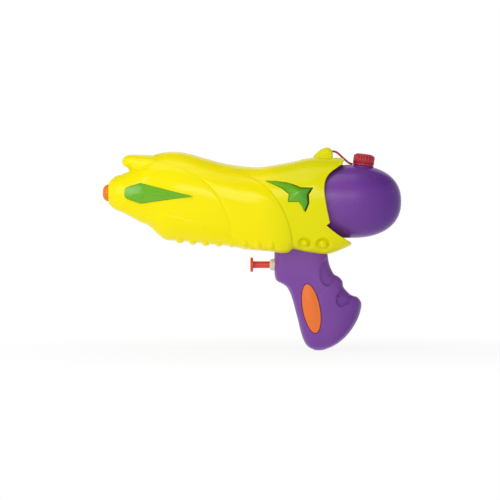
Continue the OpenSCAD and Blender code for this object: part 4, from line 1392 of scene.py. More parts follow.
    def tail_wall(self, tank: "Tank") -> Form:
        """Left half of the wall across the tail under the tank.

        Args:
            tank: the tank that it stops short of.

        Returns:
            The closed half.
        """
        s = self.share(np.array(self.tail_wall_x[0]))
        level = 2 * (self.tail_lip[1][1] - self.belly(s)) / (self.crest(s) - self.belly(s)) - 1
        v = np.linspace(-1, float(level), 24)
        w = float(self.half_width(s)) - self.step - self.wall / 2
        low = np.column_stack([-w * bulge(v, self.power(s, v)),
                               mix(self.belly(s) + self.wall / 2, self.crest(s), (1 + v) / 2)])
        k = float(tank.egg(np.array(self.tail_wall_x[1])))
        start = math.asin((tank.z - self.tail_lip[1][1]) / (k * tank.height / 2))
        round_ = np.sin(np.linspace(np.pi + start, 1.5 * np.pi, 24))
        high = np.column_stack([-(k * tank.width / 2 + self.tank_gap) * bulge(round_, tank.square),
                                tank.z + (k * tank.height / 2 + self.tank_gap) * round_])
        outline = np.concatenate([low, high])
        return loft(np.stack([np.column_stack([np.full(len(outline), x), outline])
                              for x in self.tail_wall_x]))

    def wells(self) -> tuple[Form, Form]:
        """Screw wells of the screw side, made on the left side.

        Returns:
            The cutter and the boss tubes.
        """
        r = self.well.boss_r
        ring = np.linspace(0, 2 * np.pi, 9)
        tops = [min(self.skin_y(x + r * math.cos(a), z + r * math.sin(a)) for a in ring)
                - self.step - self.wall / 2 for x, z in self.screws]
        return self.well.forms(self.screws, tops)

    def rib_guides(self) -> tuple[Form, list[tuple[int, int]]]:
        """Lines round the belly that the ribs follow, dying into the skin at their ends.

        Returns:
            Points of the lines and the edges between them.
        """
        points, edges = [], []
        turn = np.linspace(-1, 1, self.rib_points)
        away = np.abs(turn)
        for i in range(self.ribs):
            x = self.muzzle_x + self.rib_first + i * self.rib_pitch
            s = self.share(np.array(x))
            v = -np.cos(turn * self.rib_turn[i])
            y = np.sign(turn) * self.half_width(s) * bulge(v, self.power(s, v))
            line = np.column_stack([np.full(self.rib_points, x), y, self.height_at(s, v)])
            along = np.gradient(line, axis=0)
            inward = np.column_stack([np.zeros(self.rib_points), -along[:, 2], along[:, 1]])
            inward /= np.linalg.norm(inward, axis=1)[:, None]
            proud = self.rib_proud[i]
            sunk = self.rib_r - proud + (proud + self.rib_end_sink) * ramp(*self.rib_end, away)
            sunk -= (self.rib_flank[i] * ramp(*self.rib_flank_starts, away)
                     * (1 - ramp(*self.rib_flank_ends, away)))
            edges += [(len(points) + k, len(points) + k + 1) for k in range(self.rib_points - 1)]
            points += (line + inward * sunk[:, None]).tolist()
        return Form(np.array(points), []), edges

    def build(self, shop: Workshop, trim: "Trim", tank: "Tank") -> None:
        """Makes both halves and the belly ribs.

        Args:
            shop: the workshop.
            trim: the inlays that need windows.
            tank: the tank that the tail wall goes round.
        """
        extras = self.horn().plus(self.sight(), self.tail_wall(tank))
        holes, tubes = self.wells()
        for side in Side:
            left = side is Side.LEFT
            piece = walled(*self.skin(self.studs if left else self.studs[1:])).on(side).made(
                f"{side.value}_shell_skin")
            cut(piece, trim.windows(self, self.left_windows if left else self.right_windows).on(side))
            added = extras
            if not left:
                cut(piece, holes.on(side))
                added = added.plus(tubes)
            join(piece, added.on(side).made("added"))
            smooth(piece, self.crisp)
            shop.fit(piece, Slot.SHELL, Body.MAIN, f"{side.value}_shell")
        guides, edges = self.rib_guides()
        ribs = shop.grow(Tree.RIBS_ON_PATH, "belly_ribs", Slot.SHELL, guides, edges,
                         Rib_Radius=self.rib_r * MM)
        shop.fit(ribs, Slot.SHELL, Body.MAIN)


@dataclass
class Trim:
    """Green gem and star on the shell, and the orange oval on the grip."""

    gem_at: Pair = (-156.7, 93.6)
    gem_outline: Pairs = ((-16.6, 3.2), (-14.6, 5.4), (-2.2, 9), (45.3, -2.9), (-2.2, -8.8),
                                     (-14.6, -4.6), (-16.6, -2.6))
    gem_reach: Triple = (16, 44, 6)
    gem_peak: Pair = (0.6, 0.4)
    gem_tip: int = 3
    gem_crown: float = 3.0
    star_at: Pair = (-17.6, 94.0)
    star_outline: Pairs = (
        (-30.0, 11.0), (-20.5, 10.5), (-9.5, 8.6), (-3.4, 6.5), (1.0, 4.4), (10.9, 4.1), (7.1, -1.9),
        (7.6, -9.2), (4.5, -16.8), (0, -8), (-9.8, -8.1), (-8.9, -1.2), (-16.2, 4.4))
    star_reach: Triple = (20, 12, 10)
    star_sink: float = 2.2
    star_peak: Pair = (0.0, 0.0)
    star_crown: float = 6.0
    star_shadow: tuple[int, ...] = (5, 6, 7, 8)
    shadow_gap: float = 1.2
    rim: float = 0.6
    depth: float = 3.0
    gap: float = 0.3
    window_top: float = 9.0
    facet_round: tuple[float, float, int] = (0.3, 6, 2)
    crisp: float = 14.0
    boss_at: Pair = (-1.6, -0.2)
    boss_r: float = 3.3
    boss_up: float = 0.8
    boss_sink: float = 0.1
    boss_dome: float = 0.75
    ridge: Pair = (0.9, 0.4)
    ridge_steps: Pairs = ((0.06, 0), (0.06, 1), (0.5, 1), (0.9, 0.8), (0.97, 0.5), (0.97, 0))
    oval_at: Pair = (-6.4, -9.2)
    oval: Pair = (15.2, 44.4)
    oval_points: int = 72
    oval_lean: float = 10.6
    oval_foot: float = -2.6
    oval_edge: Pair = (-0.4, 0.3)
    oval_taper: Pair = (0.06, 0.5)
    oval_crown: float = 1.25
    oval_flat: float = 0.815
    oval_rings: Floats = (0.72, 0.6, 0.45, 0.3, 0.15, 0.0)

    def gem_frame(self, shell: Shell) -> Matrix:
        """Where the gem lies."""
        return shell.on_skin(*self.gem_at, *self.gem_reach)

    def star_frame(self, shell: Shell) -> Matrix:
        """Where the star lies."""
        return shell.on_skin(*self.star_at, *self.star_reach, self.star_sink)

    def oval_frame(self, grip: "Grip") -> Matrix:
        """Where the oval lies."""
        x, z = self.oval_at
        return turned(rx=90, ry=-self.oval_lean, at=(x, -float(grip.half(np.array(z))), z))

    def windows(self, shell: Shell, low: Pair) -> Form:
        """Windows of the gem and the star in the left shell half.

        Args:
            shell: the shell.
            low: depth that the gem's and the star's reach, below 0.

        Returns:
            The cutter.
        """
        star = np.array(self.star_outline)
        star[list(self.star_shadow), 0] += self.shadow_gap
        gem_hole, star_hole = (prism(grown(outline, self.gap), depth, self.window_top)
                               for outline, depth in zip((self.gem_outline, star), low))
        return gem_hole.moved(self.gem_frame(shell)).plus(star_hole.moved(self.star_frame(shell)))

    def oval_outline(self, grow: float = 0) -> Array:
        """Outline of the oval, grown by a distance."""
        a = np.linspace(0, 2 * np.pi, self.oval_points, endpoint=False)
        return np.column_stack([np.cos(a), np.sin(a)]) * (np.array(self.oval) / 2 + grow)

    def faceted(self, outline: Sequence[Pair], peak: Pair, crown: float) -> Form:
        """Gem with flat facets from its rim to a peak.

        Args:
            outline: corners of the rim.
            peak: place of the peak.
            crown: height of the peak over the rim.

        Returns:
            The closed gem.
        """
        count = len(outline)
        rim = [(x, y, h) for h in (-self.depth, self.rim) for x, y in outline]
        points = np.array(rim + [(*peak, self.rim + crown), (*peak, -self.depth)])
        faces: Faces = []
        for j in range(count):
            k = (j + 1) % count
            faces += [(j, k, k + count, j + count), (j + count, k + count, 2 * count), (k, j, 2 * count + 1)]
        return Form(points, faces)

    def gem_boss(self, shell: Shell) -> Form:
        """Low dome on the gem.

        Args:
            shell: the shell that carries the gem.

        Returns:
            The closed dome.
        """
        level = self.rim + self.gem_crown * self.boss_up - self.boss_sink
        dome = [(self.boss_r * math.cos(a), level + self.boss_dome * math.sin(a))
                for a in np.linspace(0, np.pi / 2, 10)]
        return lathe([(0, 0)] + dome, 40).moved(
            self.gem_frame(shell) @ Matrix.Translation((*self.boss_at, 0)))

    def gem_ridge(self, shell: Shell) -> Form:
        """Slim bead along the gem, from its peak to its tip.

        Args:
            shell: the shell that carries the gem.

        Returns:
            The closed bead.
        """
        start = np.array([*self.gem_peak, self.rim + self.gem_crown])
        end = np.array([*self.gem_outline[self.gem_tip], self.rim])
        a = np.linspace(0, 2 * np.pi, 10, endpoint=False)
        across = np.stack([0 * a, self.ridge[0] * np.cos(a), self.ridge[1] * np.sin(a)], axis=1)
        rings = np.stack([mix(start, end, t) + across * k for t, k in self.ridge_steps])
        return loft(rings).moved(self.gem_frame(shell))

    def oval_form(self, grip: "Grip") -> Form:
        """Oval inlay with a rounded edge and a low crown.

        Args:
            grip: the grip that carries it.

        Returns:
            The closed inlay.
        """
        low, high = self.oval_edge
        scales = [(1.0, self.oval_foot), (1.0, low)]
        edge, over = self.oval_taper
        for a in np.linspace(0, np.pi / 2, 14)[1:]:
            share = 1 - edge * (1 - math.cos(a)) - over * max(0, math.sin(a) - 0.5) ** 2
            scales.append((share, mix(low, high, math.sin(a))))
        scales += [(s, high + (self.oval_crown - high) * (1 - (s / self.oval_flat) ** 2))
                   for s in self.oval_rings]
        rings = np.stack([np.column_stack([self.oval_outline() * k, np.full(self.oval_points, h)])
                          for k, h in scales])
        return loft(rings).moved(self.oval_frame(grip))

    def build(self, shop: Workshop, shell: Shell, grip: "Grip") -> None:
        """Makes the inlays of both sides.

        Args:
            shop: the workshop.
            shell: the shell that carries the gems and stars.
            grip: the grip that carries the ovals.
        """
        gem = self.faceted(self.gem_outline, self.gem_peak, self.gem_crown).moved(self.gem_frame(shell))
        star = self.faceted(self.star_outline, self.star_peak, self.star_crown).moved(self.star_frame(shell))
        boss, ridge, oval = self.gem_boss(shell), self.gem_ridge(shell), self.oval_form(grip)
        for side in Side:
            for name, form, added in (("gem", gem, (boss, ridge)), ("star", star, ())):
                piece = form.on(side).made(f"{side.value}_{name}_stone")
                soften(piece, *self.facet_round)
                for more in added:
                    join(piece, more.on(side).made("added"))
                smooth(piece, self.crisp)
                shop.fit(piece, Slot.INLAY, Body.MAIN, f"{side.value}_{name}")
            piece = oval.on(side).made(f"{side.value}_oval_inlay")
            smooth(piece)
            shop.fit(piece, Slot.TRIM, Body.MAIN, f"{side.value}_inlay")


@dataclass
class Grip:
    """Purple grip halves with thumb scoops, an oval pocket and screw wells."""

    width: float = 29.0
    wall: float = 2.0
    square: float = 3.6
    crisp: float = 38.0
    top: float = 40.0
    tang: Pair = (57.5, 48)
    foot: float = -46.8
    tip: Pair = (0.8, -47.1)
    grid: tuple[int, int] = (150, 91)
    rows: Array = table([
        [-40, -39.3, 8.4, 50], [-31, -39.4, 10, 50.5], [-25, -39.3, 12.4, 51], [-21, -39, 14.9, 51],
        [-19.6, -38.8, 17.9, 51], [-15.6, -37.1, 21.7, 50.5], [-12, -30.8, 22.4, 50],
        [-9.5, -27.8, 23.1, 50], [-4, -24.8, 28.3, 49.5], [-2.2, -24.1, 31.1, 49.5],
        [-1.2, -23.8, 34.8, 49.5], [3.6, -22.3, 38.7, 50], [10.4, -20.5, 38.4, 50.5],
        [20, -18, 35.1, 51], [31, -15.3, 28.2, 50], [39, -12.4, 20.2, 43], [44, -8.6, 12.2, 30],
        [46.8, -3, 4.6, 10]])
    rim: float = 3.4
    rim_reach: float = 4.4
    rim_from: Pair = (2, -8)
    front_rim: float = 2.2
    front_reach: float = 3.0
    rim_curve: float = 1.3
    rim_most: float = 0.5
    scoops: tuple[Floats, ...] = ((8.2, 23.3, 7.6, 13.2, 0, 1.0), (23.1, 1.0, 6.7, 10.0, 27, 1.4))
    scoop_step: float = 2.2
    scoop_edge: float = 0.17
    scoop_most: float = 0.7
    scoop_wall: float = 1.2
    cavity_foot: float = -40.0
    cavity_close: float = -7.0
    cavity_back: float = 9.0
    cavity_back_at: Pair = (28, 8)
    screws: Pairs = ((22, -10), (4, -35))
    well: ScrewWell = ScrewWell(boss_r=3.5)
    well_inset: Pair = (0.6, 2.4)
    pump_z: float = 30.0
    barrel_r: float = 5.25
    bore_x: Pair = (-46, -32)
    pocket_gap: float = 0.55
    pocket_top: float = 5.0
    left_pocket: float = -6.0
    right_pocket: float = -1.3

    def half(self, z: Array) -> Array:
        """Half width at a height."""
        return self.width / 100 * through_rows(self.rows, 3, -np.asarray(z, float))

    def face(self, x: Array, z: Array) -> Array:
        """Depth of the outer face, with its scoops and its softened edges taken off.

        Args:
            x: places along the object.
            z: their heights.

        Returns:
            Distances from the middle plane.
        """
        front, rear, half = (through_rows(self.rows, k, -np.minimum(z, self.top)) for k in (1, 2, 3))
        share = np.clip(2 * (x - front) / (rear - front) - 1, -1, 1)
        y = half * self.width / 100 * bulge(share, self.square)
        for cx, cz, a, b, lean, depth in self.scoops:
            u, w, sin, cos = x - cx, z - cz, math.sin(math.radians(lean)), math.cos(math.radians(lean))
            inside = 1 - np.hypot((u * cos - w * sin) / a, (u * sin + w * cos) / b)
            sunk = self.scoop_step + depth * np.clip(u / (2 * a) + 0.5, 0, 1)
            y = y - np.minimum(ramp(0, self.scoop_edge, inside) * sunk, y * self.scoop_most)
        near_rear = np.clip(1 - (rear - x) / self.rim_reach, 0, 1)
        near_front = np.clip(1 - (x - front) / self.front_reach, 0, 1)
        edge = self.rim * near_rear**self.rim_curve * ramp(*self.rim_from, z)
        edge += self.front_rim * near_front**self.rim_curve
        return y - np.minimum(edge, y * self.rim_most)

    def skin(self) -> tuple[Array, Array]:
        """Outer and inner grid of the left half, from tang to foot and from front to rear.

        Returns:
            Both grids of points.
        """
        levels, columns = self.grid
        z = np.concatenate([self.tang, np.linspace(self.top, self.foot, levels)])
        key = -np.minimum(z, self.top)
        front, rear = (through_rows(self.rows, k, key)[:, None] for k in (1, 2))
        c = np.cos(np.linspace(0, np.pi, columns))[None]
        x = mix(front, rear, (1 - c) / 2)
        height = np.broadcast_to(z[:, None], x.shape)
        outer = np.stack([x, -self.face(x, height), height], axis=2)
        outer[:, [0, -1], 1] = 0
        tip = np.broadcast_to(np.array([self.tip[0], 0, self.tip[1]]), (1, columns, 3))
        inner_z = np.append(np.maximum(z, self.cavity_foot), self.cavity_foot)
        key = -np.minimum(inner_z, self.top)
        front, rear, half = (through_rows(self.rows, k, key)[:, None] for k in (1, 2, 3))
        start, over = self.cavity_back_at
        rear = rear - self.wall - self.cavity_back * np.clip((start - inner_z[:, None]) / over, 0, 1)
        front, half = front + self.wall, half * self.width / 100 - self.wall
        past = np.clip((np.append(z, self.tip[1]) - self.cavity_foot) / self.cavity_close, 0, 1)[:, None]
        middle = (front + rear) / 2
        front, rear, half = mix(front, middle, past), mix(rear, middle, past), half * (1 - past)
        x = mix(front, rear, (1 - c) / 2)
        height = np.broadcast_to(inner_z[:, None], x.shape)
        most = np.maximum(self.face(x, height) - self.scoop_wall, 0)
        deep = np.minimum(half * bulge(c, self.square), most)
        return np.concatenate([outer, tip]), np.stack([x, -deep, height], axis=2)

    def wells(self) -> tuple[Form, Form]:
        """Cutter and boss tubes of the screw wells, made on the left side."""
        tops = [float(self.half(np.array(z))) - self.wall / 2 - inset
                for (_, z), inset in zip(self.screws, self.well_inset)]
        return self.well.forms(self.screws, tops)

    def build(self, shop: Workshop, trim: Trim) -> None:
        """Makes both halves.

        Args:
            shop: the workshop.
            trim: the trim whose oval needs a pocket.
        """
        skin = walled(*self.skin())
        near, far = self.bore_x
        bore = lathe([(0, near), (self.barrel_r, near), (self.barrel_r, far), (0, far)], 48).moved(
            turned(ry=90, at=(0, 0, self.pump_z)))
        holes, tubes = self.wells()
        for side in Side:
            piece = skin.on(side).made(f"{side.value}_grip_skin")
            depth = self.left_pocket if side is Side.LEFT else self.right_pocket
            pocket = prism(trim.oval_outline(self.pocket_gap), depth, self.pocket_top)
            cut(piece, pocket.moved(trim.oval_frame(self)).plus(bore).on(side))
            if side is Side.RIGHT:
                cut(piece, holes.on(side))
                join(piece, tubes.on(side).made("added"))
            smooth(piece, self.crisp)
            shop.fit(piece, Slot.GRIP, Body.MAIN, f"{side.value}_grip")


@dataclass
class Tank:
    """Blow-moulded purple tank with a filler neck, its thread and a mould seam."""

    x: float = 30.0
    z: float = 87.0
    width: float = 52.0
    height: float = 65.6
    front: float = 38.0
    rear: float = 44.8
    round_: float = 2.3
    front_round: float = 4.4
    square: float = 2.2
    grid: tuple[int, int] = (97, 128)
    crisp: float = 40.0
    neck_x: float = 40.5
    neck_lean: float = 8.0
    neck_sink: float = 0.7
    neck_foot: float = -4.0
    neck_floor: float = 1.0
    neck_r: float = 6.9
    neck_bore: float = 5.4
    neck_height: float = 7.4
    shoulder_r: float = 8.5
    shoulder_top: float = 0.4
    seam_points: int = 320
    seam_r: float = 0.4
    seam_sink: float = 0.3
    thread_up: float = 2.2
    thread_turns: float = 2.0
    thread_rise: float = 4.0
    thread_r: float = 0.42
    thread_sink: float = 0.05

    def egg(self, x: Array) -> Array:
        """Share of the full section at a place along the tank."""
        s = np.where(x < self.x, (self.x - x) / self.front, (x - self.x) / self.rear)
        return bulge(np.minimum(1, s), np.where(x < self.x, self.front_round, self.round_))

    def along(self, c: Array) -> Array:
        """Place along the tank by its share from front -1 to rear 1."""
        return self.x + c * np.where(c < 0, self.front, self.rear)

    def neck_z(self) -> float:
        """Height of the neck's root on the tank's crown."""
        return self.z + self.height / 2 * float(self.egg(np.array(self.neck_x))) - self.neck_sink

    def on_neck(self, up: float = 0) -> Matrix:
        """Frame along the neck, a distance up from its root."""
        return turned(ry=self.neck_lean, at=(self.neck_x, 0, self.neck_z())) @ Matrix.Translation((0, 0, up))

    def bottle(self) -> Form:
        """The tank and its neck.

        Returns:
            Both closed forms.
        """
        count, sides = self.grid
        x = self.along(-np.cos(np.pi * np.linspace(0, 1, count)))
        k = self.egg(x)[:, None]
        a = np.linspace(0, 2 * np.pi, sides, endpoint=False)[None]
        v = np.sin(a)
        rings = np.stack([np.broadcast_to(x[:, None], self.grid),
                          np.sign(np.cos(a)) * k * self.width / 2 * bulge(v, self.square),
                          self.z + k * self.height / 2 * v], axis=2)
        neck = [(0, self.neck_foot)] + rounded([
            (self.shoulder_r + 1.6, self.neck_foot, 0), (self.shoulder_r + 1.4, -0.6, 0.5),
            (self.shoulder_r, self.shoulder_top, 0.5), (self.neck_r, self.shoulder_top, 0.3),
            (self.neck_r, self.neck_height, 0.5), (self.neck_bore, self.neck_height, 0.4),
            (self.neck_bore, self.neck_floor, 0)]) + [(0, self.neck_floor)]
        return loft(rings).plus(lathe(neck).moved(self.on_neck()))

    def seam_line(self) -> Form:
        """Line of the mould seam, a little under the skin in the middle plane.

        Returns:
            Its points, in order round the tank.
        """
        turn = np.linspace(0, 2 * np.pi, self.seam_points, endpoint=False)
        x = self.along(-np.cos(turn))
        flat = np.zeros(self.seam_points)
        line = np.column_stack([x, flat, self.z + np.sign(np.sin(turn)) * self.egg(x) * self.height / 2])
        way = np.roll(line, -1, axis=0) - np.roll(line, 1, axis=0)
        inward = np.column_stack([way[:, 2], flat, -way[:, 0]])
        line += self.seam_sink * inward / np.linalg.norm(inward, axis=1)[:, None]
        return Form(line, [])

    def build(self, shop: Workshop) -> None:
        """Makes the tank, its seam and its thread.

        Args:
            shop: the workshop.
        """
        piece = self.bottle().made("tank_bottle")
        smooth(piece, self.crisp)
        shop.fit(piece, Slot.TANK, Body.MAIN, "tank")
        seam = shop.grow(Tree.RIBS_ON_PATH, "tank_seam", Slot.TANK, self.seam_line(),
                         edges=[(i, (i + 1) % self.seam_points) for i in range(self.seam_points)],
                         Rib_Radius=self.seam_r * MM)
        shop.fit(seam, Slot.TANK, Body.MAIN)
        thread = shop.grow(Tree.COIL, "neck_thread", Slot.TANK, placing=self.on_neck(self.thread_up),
                           Turns=self.thread_turns, Coil_Radius=(self.neck_r - self.thread_sink) * MM,
                           Rise=self.thread_rise * MM, Wire_Radius=self.thread_r * MM)
        shop.fit(thread, Slot.TANK, Body.MAIN)


@dataclass
class Cap:
    """Ribbed red screw cap, its loose ring and the strap that ties it to the rear sight."""

    radius: float = 9.5
    body_inset: float = 0.85
    height: float = 9.4
    room_r: float = 7.45
    crown: float = 1.6
    edge: float = 2.2
    crisp: float = 40.0
    ribs: int = 22
    rib_r: float = 1.0
    rib_foot: float = 0.5
    ring_up: float = 0.45
    ring_thickness: float = 1.0
    ring_gap: float = 0.05
    ring_start: float = 8.4
    strap: Pair = (3.6, 1.9)
    strap_square: Pair = (0.5, 0.6)
    strap_crisp: float = 50.0
    strap_steps: int = 48
    strap_bends: tuple[int, int] = (6, -4)
    strap_points: Pairs = (
        (10.9, 131.9), (13.3, 131.95), (15.2, 131.75), (17.8, 130.4), (20.6, 127.9), (22.9, 125.7),
        (25.4, 123.5), (28.2, 121.4), (31.0, 120.55))

    def strap_route(self) -> Array:
        """Smooth route of the strap in the middle plane.

        Returns:
            Points with y 0.
        """
        knots = np.array(self.strap_points)
        far = np.concatenate([[0], np.cumsum(np.linalg.norm(np.diff(knots, axis=0), axis=1))])
        t = np.linspace(0, far[-1], self.strap_steps)
        x, z = (through_rows(np.column_stack([far, knots]), c, t) for c in (1, 2))
        return np.column_stack([x, np.zeros_like(t), z])

    def strap_form(self) -> Form:
        """The strap as a rounded flat band.

        Returns:
            The closed band.
        """
        route = self.strap_route()
        along = np.gradient(route, axis=0)
        along /= np.linalg.norm(along, axis=1)[:, None]
        up = np.column_stack([-along[:, 2], np.zeros(len(along)), along[:, 0]])
        a = np.linspace(0, 2 * np.pi, 20, endpoint=False)
        side, lift = (np.sign(wave) * np.abs(wave) ** power * size / 2 for wave, power, size
                      in zip((np.cos(a), np.sin(a)), self.strap_square, self.strap))
        return loft(route[:, None] + up[:, None] * lift[None, :, None]
                    + np.array([0, 1, 0]) * side[None, :, None])

    def build(self, shop: Workshop, tank: Tank) -> None:
        """Makes the cap, its ribs, its ring and its strap.

        Args:
            shop: the workshop.
            tank: the tank whose neck carries the cap.
        """
        low, high = self.ring_up, self.ring_up + self.ring_thickness
        up, body_r, room_r = high + self.ring_gap, self.radius - self.body_inset, self.room_r
        profile = [(0, self.height - self.crown), (room_r, self.height - self.crown)] + rounded([
            (room_r, 0, 0), (body_r + 0.3, 0, 0.3), (body_r + 0.3, 0.9, 0.2), (body_r, 1.1, 0.2),
            (body_r - 0.2, self.height, self.edge), (0, self.height, 0)], 10)
        cap = lathe(profile, 88).moved(tank.on_neck(up)).made("screw_cap_body")
        smooth(cap, self.crisp)
        shop.fit(cap, Slot.CAP, Body.CAP, "screw_cap")
        tall = self.height - self.edge - self.rib_foot
        ribs = shop.grow(Tree.RIBS_ON_RING, "screw_cap_ribs", Slot.CAP,
                         placing=tank.on_neck(up + self.rib_foot + tall / 2), Ribs=self.ribs,
                         Ring_Radius=(self.radius - self.rib_r) * MM, Rib_Radius=self.rib_r * MM,
                         Rib_Height=tall * MM)
        shop.fit(ribs, Slot.CAP, Body.CAP)
        edge = rounded([(self.ring_start, low, 0), (self.radius, low, 0.3), (self.radius, high, 0.3),
                        (room_r, high, 0.2), (room_r, low, 0.2), (self.ring_start, low, 0)])
        ring = lathe(edge[:-1], 72, True).moved(tank.on_neck()).made("tether_loop")
        smooth(ring, self.crisp)
        shop.fit(ring, Slot.CAP, Body.RING, "tether_ring")
        strap = self.strap_form().made("tether_strap")
        smooth(strap, self.strap_crisp)
        shop.dress(strap, Slot.CAP)
        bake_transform(strap)
        shop.stand_in(strap, "cap_tether")
        shop.repaint(Slot.LINER, "cap_liner")


@dataclass
class Pump:
    """Push trigger, return spring, nozzle button, screws and the repainted works inside."""

    z: float = 30.0
    head_x: float = -61.0
    head_r: float = 6.5
    head_thickness: float = 2.6
    rod_r: float = 3.1
    stop_x: float = -39.35
    piston_r: float = 4.0
    piston_length: float = 3.9
    groove_depth: float = 1.4
    groove_half: float = 0.75
    trigger_crisp: float = 42.0
    spring: Pair = (-34.95, -18.8)
    spring_r: float = 3.0
    wire_r: float = 0.35
    spring_turns: float = 7.0
    travel: float = 12.0
    muzzle_x: float = -188.0
    bore_z: float = 94.6
    jet_r: float = 0.75
    nozzle_r: float = 7.7
    nozzle_round: float = 5.5
    nozzle_show: float = 5.6
    nozzle_end: float = 6.0
    nozzle_neck_r: float = 5.8
    flange: Triple = (7.5, 2.05, 4.05)
    barb_r: float = 3.0
    nozzle_crisp: float = 40.0
    screw_head_r: float = 2.5
    screw_r: float = 1.25
    screw_length: float = 13.9
    screw_gap: float = 0.05
    screw_crisp: float = 30.0
    cross: Pair = (1.5, 0.32)
    cross_from: Pair = (0.9, 3.0)

    def build(self, shop: Workshop, places: Pairs) -> None:
        """Makes the moving and shown pieces and repaints the rest.

        Args:
            shop: the workshop.
            places: place and height of each screw.
        """
        self.trigger(shop)
        self.nozzle(shop)
        self.coil(shop)
        self.screws(shop, places)
        shop.repaint(Slot.PUMP, "pump_barrel", "rod_guide", "inlet_elbow", "outlet_spigot")
        shop.repaint(Slot.TUBE, "delivery_tube", "suction_tube")
        shop.repaint(Slot.BALL, "inlet_ball", "outlet_ball")
        shop.repaint(Slot.RUBBER, "tank_grommet", "piston_seal")

    def trigger(self, shop: Workshop) -> None:
        """Makes the plunger: dished head, rod and piston.

        Args:
            shop: the workshop.
        """
        rod = self.stop_x - self.head_x
        middle, far = rod + self.piston_length / 2, rod + self.piston_length
        near_side, far_side = middle - self.groove_half, middle + self.groove_half
        floor = self.piston_r - self.groove_depth
        head = [(0, 0.7, 0), (2.6, 0.6, 1.2), (self.head_r - 0.9, 0.05, 0.5), (self.head_r, 0.35, 0.45),
                (self.head_r, self.head_thickness, 0.6), (self.rod_r + 0.1, self.head_thickness + 0.05, 0.5),
                (self.rod_r, self.head_thickness + 1.2, 0.4), (self.rod_r, rod, 0)]
        piston = [(self.piston_r, rod, 0.2), (self.piston_r, near_side, 0.1), (floor, near_side, 0),
                  (floor, far_side, 0), (self.piston_r, far_side, 0.1), (self.piston_r, far, 0.3),
                  (0, far, 0)]
        piece = lathe(rounded(head + piston, 6), 56).moved(turned(ry=90, at=(self.head_x, 0, self.z))).made(
            "push_trigger")
        smooth(piece, self.trigger_crisp)
        shop.fit(piece, Slot.TRIGGER, Body.TRIGGER, "trigger_plunger")

    def nozzle(self, shop: Workshop) -> None:
        """Makes the nozzle button with its jet, neck and flange.

        Args:
            shop: the workshop.
        """
        big, tip, end = self.nozzle_round, -self.nozzle_show, self.nozzle_end
        jet = [(self.jet_r, end), (self.jet_r, tip + 0.9), (1.5, tip + 0.55), (1.75, tip + 0.1), (2.1, tip)]
        nose = [(self.nozzle_r - big + big * math.sin(a), tip + big * (1 - math.cos(a)))
                for a in np.linspace(0, np.pi / 2, 16)]
        flange_r, front, back = self.flange
        neck = [(self.nozzle_r - 0.15, -0.1), (self.nozzle_neck_r, -0.06), (self.nozzle_neck_r, front),
                (flange_r, front), (flange_r, back), (self.barb_r, back), (self.barb_r, end)]
        piece = lathe(jet + nose + neck, 64, True).moved(
            turned(ry=90, at=(self.muzzle_x, 0, self.bore_z))).made("nozzle_button")
        smooth(piece, self.nozzle_crisp)
        shop.fit(piece, Slot.TRIM, Body.MAIN, "nozzle")

    def coil(self, shop: Workshop) -> None:
        """Makes the return spring as a fixed coil on the main body, though the real one shortens as the
        trigger goes in.

        Args:
            shop: the workshop.
        """
        front, back = self.spring
        reach = back - front
        piece = shop.grow(Tree.COIL, "spring_coil", Slot.SPRING,
                          placing=turned(ry=90, at=(front, 0, self.z)), Turns=self.spring_turns,
                          Coil_Radius=self.spring_r * MM, Rise=reach * MM, Wire_Radius=self.wire_r * MM)
        shop.dress(piece, Slot.SPRING)
        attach(piece, Body.MAIN.value)
        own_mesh(piece)
        shop.stand_in(piece, "return_spring")

    def screws(self, shop: Workshop, places: Pairs) -> None:
        """Puts one cross-headed screw in each well.

        Args:
            shop: the workshop.
            places: place and height of each screw.
        """
        head_r, foot = self.screw_head_r, -self.screw_length
        profile = [(0, foot)] + rounded([
            (0.3, foot, 0), (self.screw_r, -12, 0.3), (self.screw_r, 0, 0), (head_r, 0, 0.1),
            (head_r, 0.8, 0.4), (1.6, 1.75, 0.6), (0, 1.8, 0)], 5)
        pattern = lathe(profile, 36).moved(turned(rx=-90)).made("screw_pattern")
        long, thin = self.cross
        slot = prism([(-long, -thin), (long, -thin), (long, thin), (-long, thin)], *self.cross_from).moved(
            turned(rx=-90))
        cut(pattern, slot)
        cut(pattern, slot.moved(turned(ry=90)))
        smooth(pattern, self.screw_crisp)
        seat = ScrewWell.seat + self.screw_gap
        points = Form(np.array([(x, seat, z) for x, z in places]), [])
        piece = shop.grow(Tree.ON_POINTS, "case_screws", Slot.SCREW, points, Copied=pattern)
        bpy.data.objects.remove(pattern)
        shop.fit(piece, Slot.SCREW, Body.MAIN, "shell_screws", "grip_screws")


